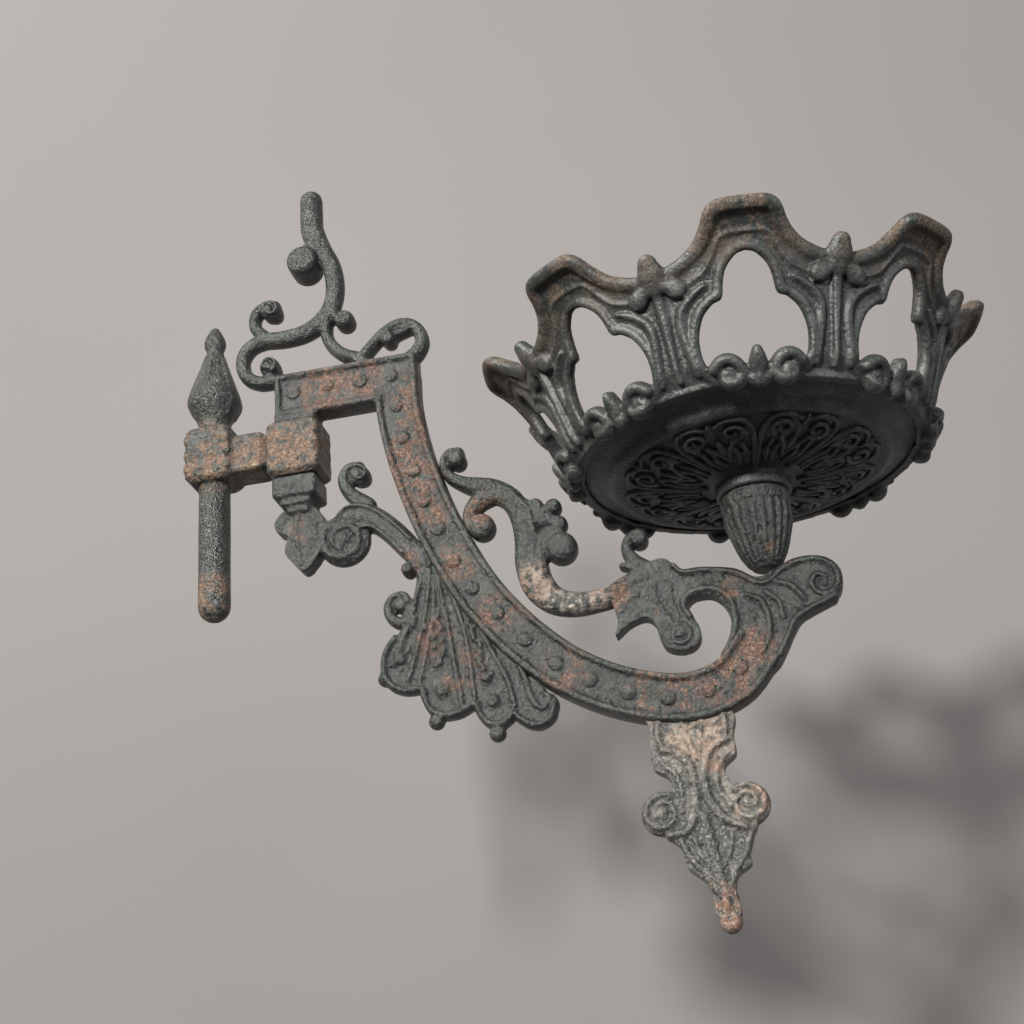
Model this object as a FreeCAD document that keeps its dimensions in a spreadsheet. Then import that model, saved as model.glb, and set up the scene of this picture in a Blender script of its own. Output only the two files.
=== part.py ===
import FreeCAD, Part
import Sketcher
import math
import os

# Cast iron swing-arm bracket for an oil lamp.
# Origin: axis of the wall pin at the shoulder it hangs on. +X runs out from the wall, +Z up.

V = FreeCAD.Vector
doc = FreeCAD.newDocument("lamp_bracket")

# ---- driving sizes, mm (angles in degrees) ----
sizes = {
    # wall link
    "wall_pin_dia": 10.0,
    "wall_pin_length": 45.5,
    "wall_block_width": 15.0,
    "wall_block_depth": 15.0,
    "wall_block_height": 19.0,
    "neck_depth": 12.0,
    "neck_height": 13.0,
    "finial_neck_dia": 10.4,
    "finial_belly_dia": 18.0,
    "finial_height": 40.0,
    "pivot_offset": 28.0,
    "knuckle_width": 17.0,
    "knuckle_depth": 15.0,
    "knuckle_height": 19.0,
    "knuckle_bottom": -2.5,
    "edge_round": 1.5,
    # pivot
    "pivot_pin_dia": 4.0,
    "pivot_clearance": 0.06,
    "lug_gap": 0.3,
    "pivot_pin_sink": 0.6,
    "pivot_pin_foot": 10.0,
    # arm
    "reach": 166.0,
    "frame_thick": 9.0,
    "bar_width": 14.4,
    "border_width": 2.6,
    "channel_depth": 1.1,
    "boss_dia": 4.6,
    "foot_width": 14.0,
    "top_bar_height": 16.3,
    "foot_height": 2.0,
    "lug_width": 14.4,
    "lug_depth": 13.0,
    "lug_step": 7.6,
    "lug_taper": 5.0,
    "curve_deviation": 0.2,
    "eye_sides": 14,
    "turned_sides": 22,
    "boss_sides": 8,
    "scroll_thick": 7.0,
    "eye_thick": 9.0,
    "peg_dia": 7.8,
    "peg_height": 22.0,
    "peg_straight": 12.0,
    "big_eye_dia": 10.8,
    "big_eye_thick": 13.0,
    "volute_dia": 17.4,
    "palmette_thick": 5.0,
    "palmette_rib": 6.6,
    "tail_thick": 6.0,
    "tail_rib": 8.0,
    # socket under the cup
    "socket_dia": 20.8,
    "socket_foot_dia": 8.0,
    "socket_height": 23.0,
    "seat_level": -32.0,
    # cup
    "bay_count": 8,
    "cup_turn": 6.2,
    "cup_wall": 3.4,
    "collar_dia": 22.2,
    "collar_height": 4.5,
    "bead_dia": 79.4,
    "floor_thick": 4.0,
    "dish_dia": 105.4,
    "dish_rise": 9.7,
    "gallery_dia": 152.0,
    "gallery_height": 36.8,
    "bay_foot_width": 31.0,
    "bay_neck_width": 16.6,
    # screw
    "screw_dia": 4.8,
    "screw_hole_clearance": 0.3,
    "screw_grip": 14.0,
    "screw_head_dia": 9.4,
    "screw_head_height": 2.4,
    "screw_head_sink": 2.8,
    "screw_head_clearance": 0.5,
}
sheet = doc.addObject("Spreadsheet::Sheet", "sizes")
for row, (alias, value) in enumerate(sizes.items(), start=1):
    sheet.set("A%d" % row, alias)
    sheet.set("B%d" % row, str(value))
    sheet.setAlias("B%d" % row, alias)
doc.recompute()


def size(alias):
    return float(sheet.get(alias))


# ---- shared levels, worked out from the sizes ----
knuckle_bottom = size("knuckle_bottom")
knuckle_top = knuckle_bottom + size("knuckle_height")
pivot_x = size("pivot_offset")
reach = size("reach")
foot_bottom = knuckle_top + size("lug_gap")
top_bar_bottom = foot_bottom + size("foot_height")
top_bar_top = top_bar_bottom + size("top_bar_height")
lug_top = knuckle_bottom - size("lug_gap")
seat_level = size("seat_level")

# The arm's ornament was drawn for these three sizes and stretches with them.
drawn_pivot_x = 28.0
drawn_reach = 166.0
drawn_knuckle_bottom = -2.5
drawn_knuckle_top = 16.5


def at(x, z, y=0.0):
    """A point of the arm's drawing, carried to where the arm now is."""
    stretch = (reach - pivot_x) / (drawn_reach - drawn_pivot_x)
    lift_top = knuckle_top - drawn_knuckle_top
    lift_bottom = knuckle_bottom - drawn_knuckle_bottom
    share = (z - drawn_knuckle_bottom) / (drawn_knuckle_top - drawn_knuckle_bottom)
    share = min(1.0, max(0.0, share))
    lift = lift_bottom + (lift_top - lift_bottom) * share
    return V(pivot_x + (x - drawn_pivot_x) * stretch, y, z + lift)


# ---- forms that the castings share ----
def spline(points):
    curve = Part.BSplineCurve()
    curve.interpolate(points)
    return curve


def path(points, closed=False):
    """Points along a smooth curve, close enough that straight runs between them stay on it."""
    curve = Part.BSplineCurve()
    curve.interpolate(Points=points, PeriodicFlag=closed)
    return curve.toShape().discretize(Deflection=size("curve_deviation"))


def face_in(points):
    return Part.Face(Part.makePolygon(points + [points[0]]))


def slab(face, thick):
    """A flat face in the arm's middle plane, thickened evenly to both sides."""
    face.translate(V(0, -thick / 2, 0))
    return face.extrude(V(0, thick, 0))


def ribbon_face(route):
    """A tapering stem: route is (x, z, width) at each station of its middle line."""
    middle = spline([at(x, z) for x, z, width in route])
    left = []
    right = []
    for x, z, width in route:
        point = at(x, z)
        along = middle.tangent(middle.parameter(point))[0]
        side = V(-along.z, 0, along.x).normalize() * (width / 2)
        left.append(point + side)
        right.append(point - side)
    return face_in(path(left) + path(right[::-1]))


def ribbon(route, thick):
    return slab(ribbon_face(route), thick)


def round_points(middle, radius, sides):
    """Corners of a regular polygon in the arm's middle plane."""
    turn = 2 * math.pi / sides
    return [middle + V(radius * math.cos(turn * k), 0, radius * math.sin(turn * k)) for k in range(sides)]


def turned(profile, axis_x):
    """A turned form with flats, as cast ones have: profile is radius against height, upwards."""
    sides = int(size("turned_sides"))
    turn = 2 * math.pi / sides
    rings = [[V(axis_x + radius * math.cos(turn * k), radius * math.sin(turn * k), height) for k in range(sides)]
             for radius, height in profile]
    flats = [face_in(rings[0][::-1]), face_in(rings[-1])]
    for lower, upper in zip(rings, rings[1:]):
        for k in range(sides):
            after = (k + 1) % sides
            flats.append(face_in([lower[k], lower[after], upper[after], upper[k]]))
    return Part.makeSolid(Part.makeShell(flats))


def disc(x, z, dia, thick):
    return slab(face_in(round_points(at(x, z), dia / 2, int(size("eye_sides")))), thick)


def outline(points, thick):
    """A closed smooth outline through its points."""
    rim = path([at(x, z) for x, z in points], True)
    return slab(face_in(rim[:-1]), thick)


def lobed(points, thick):
    """A closed outline of arcs: corner, middle of the arc, next corner and so on."""
    places = [at(x, z) for x, z in points]
    rim = []
    for i in range(0, len(places), 2):
        arc = Part.Arc(places[i], places[i + 1], places[(i + 2) % len(places)]).toShape()
        rim += arc.discretize(Deflection=size("curve_deviation"))[:-1]
    return slab(face_in(rim), thick)


def fused(shapes):
    return shapes[0].multiFuse(shapes[1:]).removeSplitter()


def node(label, shape):
    """A sub-part whose form is free ornament, kept as one shape."""
    piece = doc.addObject("Part::Feature", label)
    piece.Label = label
    piece.Shape = shape
    return piece


pieces = []

# ---- wall link: finial, block, drop pin, neck and knuckle in one casting ----
block = doc.addObject("Part::Box", "wall_block")
block.setExpression("Length", "sizes.wall_block_width")
block.setExpression("Width", "sizes.wall_block_depth")
block.setExpression("Height", "sizes.wall_block_height")
block.setExpression("Placement.Base.x", "-sizes.wall_block_width / 2")
block.setExpression("Placement.Base.y", "-sizes.wall_block_depth / 2")

knuckle = doc.addObject("Part::Box", "knuckle_block")
knuckle.setExpression("Length", "sizes.knuckle_width")
knuckle.setExpression("Width", "sizes.knuckle_depth")
knuckle.setExpression("Height", "sizes.knuckle_height")
knuckle.setExpression("Placement.Base.x", "sizes.pivot_offset - sizes.knuckle_width / 2")
knuckle.setExpression("Placement.Base.y", "-sizes.knuckle_depth / 2")
knuckle.setExpression("Placement.Base.z", "sizes.knuckle_bottom")
doc.recompute()


def eased(base, label):
    part = doc.addObject("Part::Chamfer", label)
    part.Base = base
    radius = size("edge_round")
    part.Edges = [(i + 1, radius, radius) for i in range(len(base.Shape.Edges))]
    return part


soft_block = eased(block, "wall_block_eased")
soft_knuckle = eased(knuckle, "knuckle_eased")

drop_pin = doc.addObject("Part::Cylinder", "drop_pin")
drop_pin.setExpression("Radius", "sizes.wall_pin_dia / 2")
drop_pin.setExpression("Height", "sizes.wall_pin_length - sizes.wall_pin_dia / 2 + sizes.wall_block_height / 2")
drop_pin.setExpression("Placement.Base.z", "-sizes.wall_pin_length + sizes.wall_pin_dia / 2")
pin_end = doc.addObject("Part::Cone", "drop_pin_end")
pin_end.setExpression("Radius1", "sizes.wall_pin_dia * 0.22")
pin_end.setExpression("Radius2", "sizes.wall_pin_dia / 2")
pin_end.setExpression("Height", "sizes.wall_pin_dia / 2")
pin_end.setExpression("Placement.Base.z", "-sizes.wall_pin_length")

neck = doc.addObject("Part::Box", "neck")
neck.setExpression("Length", "sizes.pivot_offset - sizes.knuckle_width / 2 - 2 * sizes.edge_round")
neck.setExpression("Width", "sizes.neck_depth")
neck.setExpression("Height", "sizes.neck_height")
neck.setExpression("Placement.Base.y", "-sizes.neck_depth / 2")
neck.setExpression("Placement.Base.z", "sizes.edge_round")
waist = doc.addObject("Part::Box", "neck_waist")
waist.setExpression("Length", "sizes.pivot_offset")
waist.setExpression("Width", "sizes.neck_depth - 2 * sizes.edge_round")
waist.setExpression("Height", "sizes.neck_height - 2 * sizes.edge_round")
waist.setExpression("Placement.Base.y", "-sizes.neck_depth / 2 + sizes.edge_round")
waist.setExpression("Placement.Base.z", "2 * sizes.edge_round")


def finial_shape():
    """Spear finial: short neck, full belly, long hollow taper, ball and point."""
    neck_r = size("finial_neck_dia") / 2
    belly_r = size("finial_belly_dia") / 2
    tall = size("finial_height")
    base = size("wall_block_height")
    profile = [
        (neck_r, -3.0), (neck_r, 0.075 * tall), (0.86 * belly_r, 0.22 * tall),
        (belly_r, 0.33 * tall), (0.86 * belly_r, 0.44 * tall), (0.5 * belly_r, 0.62 * tall),
        (0.33 * belly_r, 0.77 * tall),
    ]
    ball_r = 0.4 * belly_r
    ball = [(ball_r * 0.9, 0.78 * tall), (ball_r, 0.83 * tall), (ball_r * 0.8, 0.9 * tall), (0.12 * belly_r, tall)]
    return turned([(r, base + up) for r, up in profile + ball], 0)


finial = node("finial", finial_shape())

link_solid = doc.addObject("Part::MultiFuse", "link_solid")
link_solid.Shapes = [soft_block, soft_knuckle, drop_pin, pin_end, neck, waist, finial]

pivot_bore = doc.addObject("Part::Cylinder", "pivot_bore")
pivot_bore.setExpression("Radius", "sizes.pivot_pin_dia / 2 + sizes.pivot_clearance")
pivot_bore.setExpression("Height", "sizes.knuckle_height")
pivot_bore.setExpression("Placement.Base.x", "sizes.pivot_offset")
pivot_bore.setExpression("Placement.Base.z", "sizes.knuckle_bottom")

wall_link = doc.addObject("Part::Cut", "wall_link")
wall_link.Base = link_solid
wall_link.Tool = pivot_bore
wall_link.Label = "wall_link"
pieces.append(wall_link)

# ---- pivot pin: driven from above through foot, knuckle and lower lug ----
pin_top = top_bar_top - size("pivot_pin_sink")
pin_bottom = lug_top - size("pivot_pin_foot")
pivot_pin = doc.addObject("Part::Cylinder", "arm_pivot_pin")
pivot_pin.setExpression("Radius", "sizes.pivot_pin_dia / 2")
pivot_pin.setExpression(
    "Height",
    "sizes.knuckle_height + 2 * sizes.lug_gap + sizes.foot_height + sizes.top_bar_height"
    " - sizes.pivot_pin_sink + sizes.pivot_pin_foot")
pivot_pin.setExpression("Placement.Base.x", "sizes.pivot_offset")
pivot_pin.setExpression("Placement.Base.z", "sizes.knuckle_bottom - sizes.lug_gap - sizes.pivot_pin_foot")
pivot_pin.Label = "arm_pivot_pin"
pieces.append(pivot_pin)


def pivot_hole(low, high):
    return Part.makeCylinder(size("pivot_pin_dia") / 2, high - low, V(pivot_x, 0, low))


# ---- arm frame: foot, top bar and the long curved bar, with sunk channel and bosses ----
frame_thick = size("frame_thick")
bar_width = size("bar_width")
border = size("border_width")
sunk_thick = frame_thick - 2 * size("channel_depth")
frame_left = pivot_x - size("foot_width") / 2
corner_x = 61.6                     # middle line of the bar where it meets the top bar
bar_route = [
    (corner_x, 30.0), (61.6, 17.0), (63.2, 5.0), (66.0, -7.5), (70.6, -22.5), (76.6, -37.2),
    (84.4, -52.0), (95.4, -66.3), (108.0, -77.8), (123.0, -85.9), (139.0, -89.6), (152.0, -86.4),
    (160.6, -77.6),
]


def bar_ribbon(width, thick, trim=0):
    route = bar_route[:len(bar_route) - trim]
    return ribbon([(x, z, width) for x, z in route], thick)


def box_xz(x_low, x_high, z_low, z_high, thick):
    return Part.makeBox(x_high - x_low, thick, z_high - z_low, V(x_low, -thick / 2, z_low))


frame_right = at(corner_x, 0).x + bar_width / 2
main_bar = bar_ribbon(bar_width, frame_thick)
top_bar = box_xz(frame_left, frame_right, top_bar_bottom, top_bar_top, frame_thick)
foot = box_xz(frame_left, pivot_x + size("foot_width") / 2, foot_bottom, top_bar_bottom + 1, frame_thick)
frame_body = fused([main_bar, top_bar, foot])

channel_cut = fused([
    bar_ribbon(bar_width - 2 * border, frame_thick),
    box_xz(frame_left + border, frame_right - border, top_bar_bottom + border, top_bar_top - border,
           frame_thick),
])
sunk_floor = box_xz(frame_left, frame_right + reach, top_bar_bottom - reach, top_bar_top, sunk_thick)
channel_cut = channel_cut.cut(sunk_floor)

boss_places = [(27.7, 28.0), (39.0, 28.6), (49.8, 28.2), (60.4, 28.0)]


def bosses_along(route, pitch, first, count):
    """Boss centres spaced evenly along the middle line of the bar."""
    line = spline([at(x, z) for x, z in route])
    total = line.length()
    places = []
    for i in range(count):
        run = first + pitch * i
        if run < total:
            places.append(line.value(line.parameterAtDistance(run)))
    return places


boss_pitch = 11.4
boss_first = 13.2
boss_count = 15
boss_centres = [at(x, z) for x, z in boss_places] + bosses_along(bar_route, boss_pitch, boss_first, boss_count)
boss_solids = [
    slab(face_in(round_points(p, size("boss_dia") / 2, int(size("boss_sides")))), frame_thick)
    for p in boss_centres
]
frame_shape = frame_body.cut(channel_cut).fuse(boss_solids)
frame_shape = frame_shape.cut(pivot_hole(foot_bottom - 1, top_bar_top + 1)).removeSplitter()
pieces.append(node("arm_frame", frame_shape))

# ---- lower lug, its leaf, the wall volute and the branch that runs to the bar ----
scroll_thick = size("scroll_thick")
eye_thick = size("eye_thick")


def lower_lug():
    """Square step under the knuckle, then a tapered foot."""
    wide = size("lug_width")
    deep = size("lug_depth")
    step = size("lug_step")
    taper = size("lug_taper")
    square = Part.makeBox(wide, deep, step, V(pivot_x - wide / 2, -deep / 2, lug_top - step))
    upper = Part.makePlane(wide - 2, deep - 2, V(pivot_x - wide / 2 + 1, -deep / 2 + 1, lug_top - step))
    narrow = wide * 0.55
    shallow = deep * 0.55
    lower = Part.makePlane(narrow, shallow, V(pivot_x + 1.2 - narrow / 2, -shallow / 2, lug_top - step - taper))
    foot_cone = Part.makeLoft([upper.Wires[0], lower.Wires[0]], True, True)
    return [square, foot_cone]


leaf_points = [
    (27.0, -12.8), (22.6, -14.0), (20.3, -17.2), (21.3, -20.6), (24.4, -22.4), (23.4, -27.2),
    (26.6, -31.8), (29.4, -34.8), (32.4, -32.6), (36.0, -27.0), (37.0, -19.0), (33.4, -13.6),
]
bracket_parts = lower_lug() + [
    outline(leaf_points, scroll_thick),
    disc(42.2, -25.8, size("volute_dia"), scroll_thick),
    disc(42.2, -25.8, 6.0, eye_thick),
    ribbon([(37.0, -21.5, 5.0), (43.0, -17.4, 7.2), (50.0, -18.8, 8.4), (56.4, -24.0, 8.0),
            (62.4, -31.4, 8.0), (67.4, -38.0, 8.0)], scroll_thick),
    ribbon([(50.0, -14.5, 6.0), (44.8, -10.0, 5.2), (43.4, -5.0, 4.6), (46.0, -1.4, 3.6)], scroll_thick),
    disc(48.0, -4.8, 6.4, eye_thick),
    disc(61.8, -38.6, 4.4, scroll_thick),
    ribbon([(61.8, -38.6, 3.6), (65.0, -37.6, 4.2), (68.0, -37.0, 4.4)], scroll_thick),
]
bracket_shape = fused(bracket_parts).cut([main_bar, pivot_hole(pin_bottom, lug_top + 1)])


def largest(shape):
    """The one solid that is left joined when a cut leaves crumbs behind."""
    return max(shape.Solids, key=lambda solid: solid.Volume)


pieces.append(node("pivot_bracket", largest(bracket_shape)))

# ---- top scroll with the reflector peg ----
peg_x = 34.5
peg_foot = 84.0
peg_low = at(peg_x, peg_foot)
peg_dia = size("peg_dia")
peg_rise = size("peg_height") - peg_dia / 2
peg_flare = peg_rise - size("peg_straight")
peg = Part.makeCone(peg_dia * 0.6, peg_dia / 2, peg_flare, peg_low)
peg_shaft = Part.makeCylinder(peg_dia / 2, size("peg_straight"), peg_low + V(0, 0, peg_flare))
peg_top = Part.makeCone(peg_dia / 2, peg_dia * 0.22, peg_dia / 2, peg_low + V(0, 0, peg_rise))
top_parts = [
    peg,
    peg_shaft,
    peg_top,
    ribbon([(35.2, 88.0, 8.0), (37.2, 82.4, 7.4), (41.0, 74.0, 6.6), (41.9, 65.2, 6.6), (40.2, 58.0, 6.4),
            (36.0, 53.2, 6.4), (30.5, 50.4, 6.2), (23.7, 49.7, 6.0), (17.5, 50.3, 5.6), (12.7, 48.9, 5.2),
            (10.2, 45.4, 5.0), (9.8, 41.0, 5.0), (11.6, 36.8, 5.0), (15.4, 34.4, 5.0), (19.5, 34.0, 5.0),
            (23.6, 33.4, 4.6)],
           scroll_thick),
    disc(31.8, 76.8, size("big_eye_dia"), size("big_eye_thick")),
    ribbon([(32.0, 79.6, 6.0), (35.2, 82.6, 7.0), (38.4, 80.0, 6.0)], scroll_thick),
    disc(19.2, 39.4, 6.6, eye_thick),
    ribbon([(19.4, 37.0, 4.6), (21.6, 34.6, 5.0), (24.4, 32.8, 4.6)], scroll_thick),
    ribbon([(17.6, 51.6, 4.4), (14.6, 55.6, 4.4), (14.6, 60.4, 4.2), (18.6, 63.0, 4.0)], scroll_thick),
    disc(20.2, 60.6, 6.6, eye_thick),
    disc(45.0, 52.2, 6.6, eye_thick),
    ribbon([(41.0, 57.6, 4.0), (42.2, 53.6, 4.2), (45.0, 52.2, 4.4)], scroll_thick),
    ribbon([(38.6, 54.4, 4.6), (38.6, 48.4, 4.6), (40.8, 43.2, 4.6), (44.6, 39.4, 4.6), (48.8, 37.0, 5.6),
            (51.4, 33.4, 7.0)], scroll_thick),
    ribbon([(49.4, 35.6, 4.6), (52.6, 39.8, 4.4), (57.0, 44.0, 4.4), (61.6, 46.8, 4.4), (66.0, 46.8, 4.6),
            (69.4, 43.8, 4.8), (70.4, 39.4, 5.0), (68.2, 35.4, 5.6), (65.6, 32.4, 6.0)], scroll_thick),
    disc(59.8, 42.0, 5.0, eye_thick),
]
top_shape = fused(top_parts).cut([main_bar, top_bar])
pieces.append(node("top_scroll", largest(top_shape)))

# ---- scroll work above the bar ----
front_parts = [
    ribbon([(78.2, -1.6, 3.4), (75.4, -3.0, 3.6), (75.0, -7.0, 3.8), (78.0, -11.4, 4.4), (83.0, -14.2, 6.2),
            (89.0, -16.6, 8.4), (94.6, -20.4, 7.8), (97.6, -27.0, 7.8), (98.7, -34.6, 9.0),
            (98.8, -42.0, 10.0), (100.2, -49.6, 9.8), (104.6, -55.0, 9.0), (111.6, -57.2, 8.0),
            (121.0, -56.4, 7.0)], scroll_thick),
    disc(78.8, -4.8, 6.0, eye_thick),
    ribbon([(89.0, -17.0, 7.6), (84.2, -20.4, 7.4), (82.2, -25.6, 7.0)], scroll_thick),
    disc(85.2, -28.2, 7.8, eye_thick),
    disc(108.2, -39.0, 9.2, eye_thick),
    ribbon([(100.6, -45.0, 6.0), (102.4, -38.6, 7.2), (104.6, -33.0, 7.4), (108.6, -34.4, 5.0)], scroll_thick),
    disc(101.8, -25.6, 6.4, scroll_thick),
    disc(107.0, -25.2, 5.2, scroll_thick),
    disc(108.2, -31.0, 5.4, scroll_thick),
    disc(104.2, -29.4, 8.0, scroll_thick),
]

# ---- leaf head, inner scroll and the horn scroll beside the socket ----
saddle_parts = [
    ribbon([(121.0, -56.4, 7.0), (128.0, -52.6, 10.0), (136.0, -51.6, 11.0), (143.4, -54.8, 8.4),
            (151.6, -56.6, 9.0), (160.0, -60.4, 12.0), (164.6, -67.0, 13.6), (163.6, -75.4, 14.0),
            (158.6, -82.2, 14.2)], scroll_thick),
    ribbon([(131.6, -55.0, 10.0), (133.2, -61.6, 8.0), (136.0, -68.0, 7.4), (140.6, -72.2, 7.0)], scroll_thick),
    disc(141.3, -72.4, 8.6, eye_thick),
    ribbon([(128.0, -55.6, 7.0), (125.0, -61.4, 4.6), (120.6, -68.8, 1.6)], scroll_thick),
    ribbon([(134.0, -50.4, 6.0), (129.4, -46.4, 5.0), (127.4, -42.0, 4.4), (129.2, -38.2, 3.6)], scroll_thick),
    disc(131.2, -39.8, 6.0, eye_thick),
    ribbon([(132.0, -50.0, 4.6), (128.0, -48.2, 3.4), (124.8, -47.4, 1.6)], scroll_thick),
    ribbon([(162.0, -64.0, 9.0), (168.0, -59.6, 9.0), (174.8, -57.4, 8.0), (181.4, -59.0, 6.6)], scroll_thick),
    disc(181.2, -62.2, 11.4, scroll_thick),
    ribbon([(164.0, -72.6, 12.0), (171.0, -68.4, 8.6), (178.6, -66.6, 5.0)], scroll_thick),
    disc(152.8, -56.4, 5.6, eye_thick),
]
socket_axis = V(reach, 0, 0)
front_shape = fused(front_parts).cut([main_bar])
saddle_body = fused(saddle_parts)

# ---- fluted socket that the cup stands on ----
socket_r = size("socket_dia") / 2
socket_height = size("socket_height")


def socket_shape():
    """Acorn-shaped socket, turned about the cup's axis."""
    profile = [(size("socket_foot_dia") / 2, 1.0), (0.74 * socket_r, 0.72), (0.93 * socket_r, 0.42),
               (socket_r, 0.18), (0.97 * socket_r, 0.0)]
    return turned([(r, seat_level - drop * socket_height) for r, drop in profile], reach)


socket_body = socket_shape()
screw_r = size("screw_dia") / 2
tapped_hole = Part.makeCylinder(screw_r, size("screw_grip") + 1, V(reach, 0, seat_level - size("screw_grip") - 1))
pieces.append(node("front_scroll", largest(front_shape.cut([saddle_body]))))
pieces.append(node("saddle_scroll", largest(saddle_body.cut([main_bar, socket_body]))))
pieces.append(node("cup_socket", socket_body.cut(tapped_hole)))

# ---- palmette under the bar ----
palmette_points = [
    (66.5, -33.0), (63.9, -42.0), (62.2, -50.5), (61.0, -54.6), (58.8, -58.5), (54.0, -65.6),
    (54.4, -73.0), (58.6, -75.4), (63.4, -74.8), (66.8, -84.0), (75.4, -84.2), (78.2, -84.5),
    (80.4, -82.6), (84.2, -89.6), (91.4, -86.6), (97.6, -93.0), (103.6, -85.4), (84.0, -56.0),
]
tip_places = [(52.8, -71.6), (67.6, -86.6), (84.8, -92.4)]
rib_ends = [(56.0, -66.0), (63.6, -74.2), (74.0, -82.0), (82.0, -83.0), (91.4, -86.0)]
fan_centre = (69.0, -44.0)
palmette_thick = size("palmette_thick")
rib_thick = size("palmette_rib")
palmette_parts = [lobed(palmette_points, palmette_thick)]
palmette_parts += [disc(x, z, 4.2, palmette_thick) for x, z in tip_places]
palmette_parts += [
    ribbon([(fan_centre[0], fan_centre[1], 2.2),
            ((fan_centre[0] + x) / 2 - 1.0, (fan_centre[1] + z) / 2, 2.2), (x, z, 2.4)], rib_thick)
    for x, z in rib_ends
]
palmette_parts += [
    ribbon([(60.4, -55.4, 4.0), (56.4, -52.6, 4.4), (55.0, -48.4, 4.0), (57.8, -45.8, 3.4)], palmette_thick),
    disc(59.0, -49.2, 6.0, eye_thick),
]
gap_points = [(90.4, -73.4), (95.0, -78.8), (99.8, -82.6), (98.4, -85.4), (95.4, -84.4), (91.4, -79.4)]
palmette_shape = fused(palmette_parts).cut([lobed(gap_points, frame_thick), main_bar] + bracket_shape.Solids)
pieces.append(node("palmette", largest(palmette_shape)))

# ---- pendant under the bar ----
tail_parts = [
    ribbon([(139.0, -90.0, 22.0), (138.6, -102.0, 22.0), (139.0, -112.0, 15.6), (140.4, -121.0, 17.0),
            (141.2, -130.0, 19.0), (141.4, -136.0, 15.0), (142.0, -142.0, 6.2), (142.5, -150.5, 6.0)],
           size("tail_thick")),
    ribbon([(139.0, -98.0, 9.0), (139.6, -112.0, 5.0), (140.8, -126.0, 6.0), (142.0, -140.0, 4.0)],
           size("tail_rib")),
    disc(128.2, -120.4, 12.6, size("tail_thick")),
    disc(128.4, -119.2, 5.0, eye_thick),
    disc(151.4, -120.6, 12.6, size("tail_thick")),
    disc(151.4, -120.0, 5.0, eye_thick),
    disc(142.5, -150.4, 6.4, size("tail_thick")),
]
pieces.append(node("tail_pendant", largest(fused(tail_parts).cut([main_bar]))))

# ---- lamp cup: dish and pierced gallery, a turned shell with eight bays ----
cup = doc.addObject("PartDesign::Body", "lamp_cup")
cup.Label = "lamp_cup"


def origin_part(body, role):
    return next(item for item in body.Origin.OriginFeatures if item.Role == role)


cup_wall = size("cup_wall")
collar_r = size("collar_dia") / 2
bead_r = size("bead_dia") / 2
dish_r = size("dish_dia") / 2
gallery_r = size("gallery_dia") / 2
dish_under = seat_level + size("collar_height")
dish_edge = dish_under + size("dish_rise")
gallery_top = dish_edge + size("gallery_height")
hole_r = screw_r + size("screw_hole_clearance")
floor_level = dish_under + size("floor_thick") + 1.0
flare = gallery_r - dish_r
tall = size("gallery_height")


def cup_profile():
    """Half section of the shell, radius against height, from the screw hole round to the hole."""
    outer = [
        (dish_r, dish_edge), (dish_r + 0.315 * flare, dish_edge + 0.47 * tall), (dish_r + 0.54 * flare, dish_edge + 0.76 * tall),
        (dish_r + 0.78 * flare, dish_edge + 0.92 * tall), (gallery_r, gallery_top),
    ]
    lean = cup_wall * 0.35
    inner = [(r - cup_wall, z + (lean if i else 0.6)) for i, (r, z) in enumerate(outer)]
    return outer, inner


outer_wall, inner_wall = cup_profile()
section = cup.newObject("Sketcher::SketchObject", "cup_section")
section.AttachmentSupport = (origin_part(cup, "XZ_Plane"), [""])
section.MapMode = "FlatFace"


def draw(sketch, edges):
    for edge in edges:
        sketch.addGeometry(edge, False)


def line(a, b):
    return Part.LineSegment(V(a[0], a[1], 0), V(b[0], b[1], 0))


def flat_path(points):
    """Straight runs between points in the sketch's own plane."""
    return [line(a, b) for a, b in zip(points, points[1:])]


under = [(collar_r, dish_under), (bead_r - 1.6, dish_under + 0.42 * size("dish_rise"))]
bead_low = under[-1]
bead_high = (bead_r + 1.6, dish_under + 0.56 * size("dish_rise"))
bead_mid = (bead_r + 0.3, dish_under + 0.34 * size("dish_rise"))
floor_edge = (bead_r - 2.0, floor_level)
sink_r = size("screw_head_dia") / 2 + size("screw_head_clearance")
sink_level = floor_level - size("screw_head_sink")
section_edges = [
    line((hole_r, seat_level), (collar_r, seat_level)),
    line((collar_r, seat_level), (collar_r, dish_under)),
    *flat_path(under),
    line(bead_low, bead_mid),
    line(bead_mid, bead_high),
    *flat_path([bead_high, (0.45 * bead_r + 0.55 * dish_r, dish_under + 0.72 * size("dish_rise")),
                outer_wall[0]]),
    *flat_path(outer_wall),
    line(outer_wall[-1], inner_wall[-1]),
    *flat_path(inner_wall[::-1]),
    line(inner_wall[0], floor_edge),
    line(floor_edge, (sink_r, floor_level)),
    line((sink_r, floor_level), (sink_r, sink_level)),
    line((sink_r, sink_level), (hole_r, sink_level)),
    line((hole_r, sink_level), (hole_r, seat_level)),
]
draw(section, section_edges)
shell = cup.newObject("PartDesign::Revolution", "cup_shell")
shell.Profile = section
shell.ReferenceAxis = (section, ["V_Axis"])
shell.Angle = 360.0
doc.recompute()
shell_volume = cup.Shape.Volume

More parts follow.
